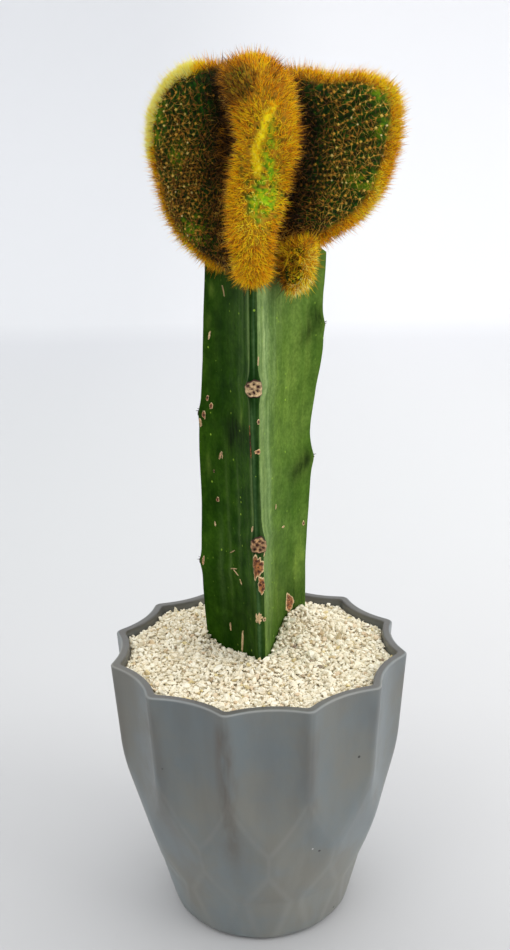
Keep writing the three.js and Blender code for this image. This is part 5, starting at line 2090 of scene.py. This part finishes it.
@dataclass
class Scion:
    """The crested scion: five fans, their areoles and their bristles."""

    stock: Stock
    rim_spacing: float = 1.7
    rim_kinds: tuple = (
        BristleKind(5, (15, 52), (3.3, 4.7), (0.15, 0.2), 0.0, 0.12),
        BristleKind(1, (0, 26), (5.0, 7.6), (0.13, 0.17), -0.17, 0.14),
        BristleKind(1, (5, 60), (3.0, 5.4), (0.13, 0.18), -0.42, 0.06, 0.55))
    young_kinds: tuple = (BristleKind(15, (0, 55), (3.0, 4.8), (0.1, 0.14), 0.0, 0.035),)
    face_kinds: tuple = (
        BristleKind(4, (45, 80), (2.4, 4.4), (0.1, 0.14), 0.18, 0.13),
        BristleKind(5, (40, 80), (3.0, 5.2), (0.09, 0.13), -0.26, 0.07),
        BristleKind(2, (10, 45), (3.2, 5.2), (0.1, 0.14), 0.1, 0.18))
    seed: int = 7
    # Some patches are painted shade: the dark tints at (12, 322) on the tongue's left side, and at (27, 376)
    # and (-17, 380) in the grooves beside the centre fan.
    patches: tuple = rows(TintPatch,
        (-50, 360, 9, 12, 0.7, 0.7), (11, 402, 3.6, 11, 1, 0.62), (5.5, 357, 8, 16, 1, 0.912),
        (-4, 400, 8, 9, 0.95, 0.34), (0, 324, 16, 10, 1, 0.83), (22, 314, 7, 8, 1, 0.985),
        (-14, 346, 4, 24, 0.6, 0.68), (9, 340, 3, 18, 0.5, 0.69), (12, 322, 4.5, 8, 1, 0.36),
        (17, 339, 4, 5, 0.7, 0.5), (62, 366, 5, 16, 0.6, 0.7), (38, 340, 20, 7, 0.6, 0.7),
        (71, 385, 5, 24, 0.6, 0.87), (27, 376, 6, 26, 0.9, 0.1), (-17, 380, 4, 24, 0.5, 0.25),
        (18, 398, 4, 9, 0.6, 0.84), (8, 375, 8, 11, 0.8, 0.85))

    def __post_init__(self) -> None:
        """Makes the fans."""
        self.lobes = [Lobe(shape) for shape in LOBES]

    def _near(self, lobe: Lobe, points: Array) -> Array:
        """Distance from points to the nearest of the other fans."""
        return np.min([other.clearance(points) for other in self.lobes if other is not lobe], axis=0)

    def _free(self, lobe: Lobe, points: Array, normals: Array) -> Array:
        """Which areoles lie in the open, outside the other fans and clear of the stem.

        Args:
            lobe: The fan that carries them.
            points: Their places.
            normals: Their outward directions.

        Returns:
            A mask.
        """
        tips = np.stack([knot_curve(path, np.clip(points[:, 2], 96, 338))
                         for path in (self.stock.front, self.stock.right, self.stock.left)], 1)
        edge = np.roll(tips, -1, axis=1) - tips
        gap = points[:, None, :2] - tips
        inside = np.all(edge[..., 0] * gap[..., 1] - edge[..., 1] * gap[..., 0] > 0, axis=1)
        return (self._near(lobe, points + normals * 1.2) > -0.6) & ~(inside & (points[:, 2] < 337))

    def _tints(self, points: Array, base: Array) -> Array:
        """Tints of bristles: the base moved toward each patch's tint, with slow change.

        Args:
            points: Roots of the bristles.
            base: Tints before the patches.

        Returns:
            Places across the tint map.
        """
        tint = base + 0.05 * lattice_noise(points, 9.0, seed=51) + 0.05 * lattice_noise(points, 3.0, seed=52)
        for patch in self.patches:
            share = patch.share(points)
            tint = tint * (1 - share) + patch.tint * share
        return tint

    def _bristles(self, points: Array, normals: Array, base: Array, young: Array, deep: Array, comb: Array,
                  kinds: Sequence[BristleKind], rng: np.random.Generator) -> list[Shell]:
        """Bristles of several kinds standing in areoles.

        Args:
            points: The areoles.
            normals: Their outward directions.
            base: Their tints.
            young: How much each belongs to young growth, from 0 to 1.
            deep: How deep in a fold each lies, from 0 to 1.
            comb: Direction that deep bristles bend to.
            kinds: The kinds.
            rng: Source of every random choice.

        Returns:
            One shell for each kind.
        """
        green = covered(FRESH, points)
        tints = self._tints(points, base)
        tints = tints + (0.9 + 0.08 * (points[:, 0] < -10) - tints) * young
        bare = bare_gaps(points)
        short = np.maximum(growing_line(points, 7.0), 0.6 * green)
        first, second = side_axes(normals)
        shells = []
        for kind in kinds:
            owner = np.repeat(np.arange(len(points)), kind.each)
            chance = kind.kept * (1 - 0.5 * green[owner]) * (1 - bare[owner])
            owner = owner[rng.uniform(size=len(owner)) < chance]
            count = len(owner)
            around = rng.uniform(0, 2 * np.pi, count)
            tilt = np.radians(rng.uniform(*kind.lean, count))
            sideways = swung(around, first[owner], second[owner])
            way = swung(tilt, normals[owner], sideways) + 0.6 * deep[owner, None] * comb
            tint = tints[owner] + kind.tint_shift * (1 - young[owner])
            tint = tint + rng.normal(0, kind.tint_spread, count)
            tint = np.minimum(tint, np.maximum(tints[owner] + 0.04, 0.86))
            length = rng.uniform(*kind.length, count) * (1 - 0.35 * short[owner]) * (1 + 0.25 * deep[owner])
            roots = points[owner] + sideways * 0.2 - normals[owner] * 0.4
            radius = rng.uniform(*kind.radius, count)
            shells.append(needles(roots, unit(way), length, radius, tint, rng))
        return shells

    def _rim_bristles(self, lobe: Lobe, rng: np.random.Generator) -> Shell:
        """The dense golden bristles over a fan's rim.

        Args:
            lobe: The fan.
            rng: Source of every random choice.

        Returns:
            The bristles in one shell.
        """
        points, normals, turn = lobe.rim_areoles(self.rim_spacing, rng)
        free = self._free(lobe, points, normals)
        points, normals, turn = points[free], normals[free], turn[free]
        shape = lobe.shape
        rise = smooth_ramp(shape.rim_start - 6, shape.rim_start + 12, turn)
        base = shape.face_tint + (shape.rim_tint - shape.face_tint) * rise
        deep = smooth_ramp(12, 0, self._near(lobe, points)) * shape.shade
        young = np.maximum(growing_line(points), growing_band(points))
        # Bristles deep in a fold get darker tints: partly their own darker colour, partly painted shade.
        parts = (points, normals, base - 0.2 * deep, young, deep)
        shells = self._bristles(*parts, -lobe.out, self.rim_kinds, rng)
        fresh = young > 0.3
        if fresh.any():
            shells += self._bristles(*(part[fresh] for part in parts), -lobe.out, self.young_kinds, rng)
        return join_shells(shells)

    def _face_bristles(self, lobe: Lobe, rng: np.random.Generator) -> Shell:
        """The areole wool of a fan's faces, with thin brown spines that radiate from each tuft.

        Args:
            lobe: The fan.
            rng: Source of every random choice.

        Returns:
            The tufts and spines in one shell.
        """
        points, normals = lobe.face_areoles(rng)
        free = self._free(lobe, points, normals)
        points, normals = points[free], normals[free]
        deep = smooth_ramp(20, 3, self._near(lobe, points)) * lobe.shape.shade
        # Spines deep in a fold get darker tints: partly their own darker colour, partly painted shade.
        base = lobe.shape.face_tint - 0.34 * deep
        spines = self._bristles(points, normals, base, 0 * deep, deep, -lobe.out, self.face_kinds, rng)
        # The wool is darker in the folds in the same way: partly its own colour, partly painted shade.
        tint = np.clip(0.7 - 0.46 * deep + rng.normal(0, 0.13, len(points)), 0, 1)
        wool = wool_dots(points, normals, rng.uniform(0.4, 0.8, len(points)), tint)
        return join_shells([*spines, wool])

    def build(self, flesh: bpy.types.Material, rim: bpy.types.Material, face: bpy.types.Material) -> None:
        """Makes every fan's skin, rim bristles and face bristles.

        Args:
            flesh: Finish of the skin.
            rim: Finish of the rims' bristles.
            face: Finish of the faces' spines and wool.
        """
        for number, lobe in enumerate(self.lobes):
            name = lobe.shape.name
            others = [other for other in self.lobes if other is not lobe]
            make_piece(f"scion_{name}", lobe.skin(others), flesh, Slot.SCION, "scion")
            rng = np.random.default_rng([self.seed, number])
            for kind, shell, finish in (("rim_bristles", self._rim_bristles(lobe, rng), rim),
                                        ("face_bristles", self._face_bristles(lobe, rng),
                                         face if lobe.shape.shade == 1 else rim)):
                make_piece(f"scion_{name}_{kind}", shell, finish, Slot.SCION, smooth=False)


# ---------------------------------------------------------------- the studio


@dataclass
class Studio:
    """A pale seamless bowl, soft lights, and the camera at the photograph's viewpoint."""

    eye: tuple[float, float, float] = (0.0, -442.1, 352.9)
    right: tuple[float, float, float] = (0.9999, -0.0044, -0.0154)
    up: tuple[float, float, float] = (0.016, 0.2715, 0.9623)
    back: tuple[float, float, float] = (-0.0001, -0.9624, 0.2715)
    lens: float = 36.23
    paper: tuple[tuple[float, Colour], ...] = (
        (0.0, (0.51, 0.51, 0.51)), (0.027, (0.57, 0.57, 0.57)), (0.078, (0.62, 0.62, 0.62)),
        (0.175, (0.655, 0.66, 0.66)), (0.38, (0.72, 0.725, 0.73)), (0.6, (0.78, 0.785, 0.8)),
        (0.73, (0.88, 0.885, 0.895)), (1.0, (0.91, 0.915, 0.93)))
    paper_run: tuple[float, float] = (-0.1, 3.6)
    side_tints: tuple[Colour, Colour] = ((0.885, 0.89, 0.9), (1.05, 1.045, 1.05))
    bowl_columns: int = 96
    sky: Colour = (0.98, 0.99, 1.0)
    sky_strength: float = 1.22
    aim: tuple[float, float, float] = (0, 0, 250)
    lights: tuple = (("key", (-900, -900, 1500), 900, 4.5), ("fill", (1300, -600, 800), 900, 10.0),
                     ("top", (200, 500, 1800), 1200, 4.0))

    def camera(self) -> None:
        """Places the camera."""
        data = bpy.data.cameras.new("camera")
        data.lens, data.sensor_width, data.clip_start = self.lens, 36.0, 0.01
        camera = link("camera", data)
        axes = Matrix((self.right, self.up, self.back)).transposed().to_4x4()
        axes.translation = Vector(self.eye) * MM
        camera.matrix_world = axes
        bpy.context.scene.camera = camera

    def backdrop(self) -> bpy.types.Material:
        """Builds the bowl's material: paper that is lit unevenly from front to back and from side to side.

        Returns:
            The material.
        """
        paint = Paint("Backdrop")
        place = paint.axes()
        paper = paint.ramp(paint.span(place[1], *self.paper_run, kind="LINEAR"), self.paper)
        side = paint.mix(paint.span(place[0], -0.5, 0.5), *self.side_tints)
        return paint.finish({"Base Color": paint.tinted(paper, side), "Roughness": 0.85,
                             "Specular IOR Level": 0.2})

    def bowl(self) -> None:
        """Makes the floor as a wide dish whose edge turns up into a low wall."""
        bend = np.radians(np.linspace(0, 80, 20))
        radius = np.concatenate([[40, 200, 500, 1000, 1700, 2400], 2600 + 1400 * np.sin(bend), [4200]])
        level = np.concatenate([[0] * 6, 1400 * (1 - np.cos(bend)), [2400]]) - 0.2
        column = np.arange(self.bowl_columns)
        turn = np.linspace(0, 2 * np.pi, self.bowl_columns, endpoint=False)
        rings = np.stack([radius[:, None] * np.cos(turn), radius[:, None] * np.sin(turn),
                          level[:, None] + 0 * turn], -1)
        cells, _ = sheet_cells(*rings.shape[:2])
        after = (column + 1) % self.bowl_columns
        middle = np.stack([np.full(self.bowl_columns, rings[..., 0].size), after, column], 1)
        points = np.vstack([rings.reshape(-1, 3), [0, 0, -0.2]])
        mesh = bpy.data.meshes.new("backdrop")
        mesh.from_pydata((points * MM).tolist(), [], [*cells.tolist(), *middle.tolist()])
        mesh.polygons.foreach_set("use_smooth", np.full(len(mesh.polygons), True))
        mesh.materials.append(self.backdrop())
        link("backdrop", mesh)

    def light(self) -> None:
        """Adds the sky and the area lights, each turned to the plant."""
        world = bpy.data.worlds.new("studio")
        world.use_nodes = True
        Wiring(world.node_tree).feed(world.node_tree.nodes["Background"], {0: self.sky, 1: self.sky_strength})
        bpy.context.scene.world = world
        for name, place, size, power in self.lights:
            data = bpy.data.lights.new(name, "AREA")
            data.size, data.energy = size * MM, power
            lamp = link(name, data)
            lamp.location = Vector(place) * MM
            lamp.rotation_euler = (Vector(self.aim) * MM - lamp.location).to_track_quat("-Z", "Y").to_euler()

    def build(self) -> None:
        """Sets up the whole studio."""
        bpy.context.scene.view_settings.view_transform = "Standard"
        self.camera()
        self.bowl()
        self.light()


def main() -> None:
    """Builds the plant, its planter and the studio."""
    logging.basicConfig(level=logging.INFO, format="%(message)s", stream=sys.stdout)
    effects = Effects()
    cork = CorkFinish().material(effects)
    bristle = BristleFinish().material()
    planter, stock = Planter(), Stock()
    planter.build(PlanterFinish().material(effects))
    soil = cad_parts["potting_soil"]
    soil.data.materials.clear()
    soil.data.materials.append(MixFinish().material(effects))
    grit = Grit(planter, stock)
    grit.bed(BedFinish().material())
    grit.stones(GritFinish().material(effects))
    stock.body(StockFinish().material(effects))
    stock.marks(cork)
    stock.spines(bristle)
    stock.roots(cork)
    spine = BristleFinish("FaceSpine", FACE_TINTS, shine=0.09).material()
    Scion(stock).build(FleshFinish().material(effects), bristle, spine)
    Studio().build()


if __name__ == "__main__":
    main()
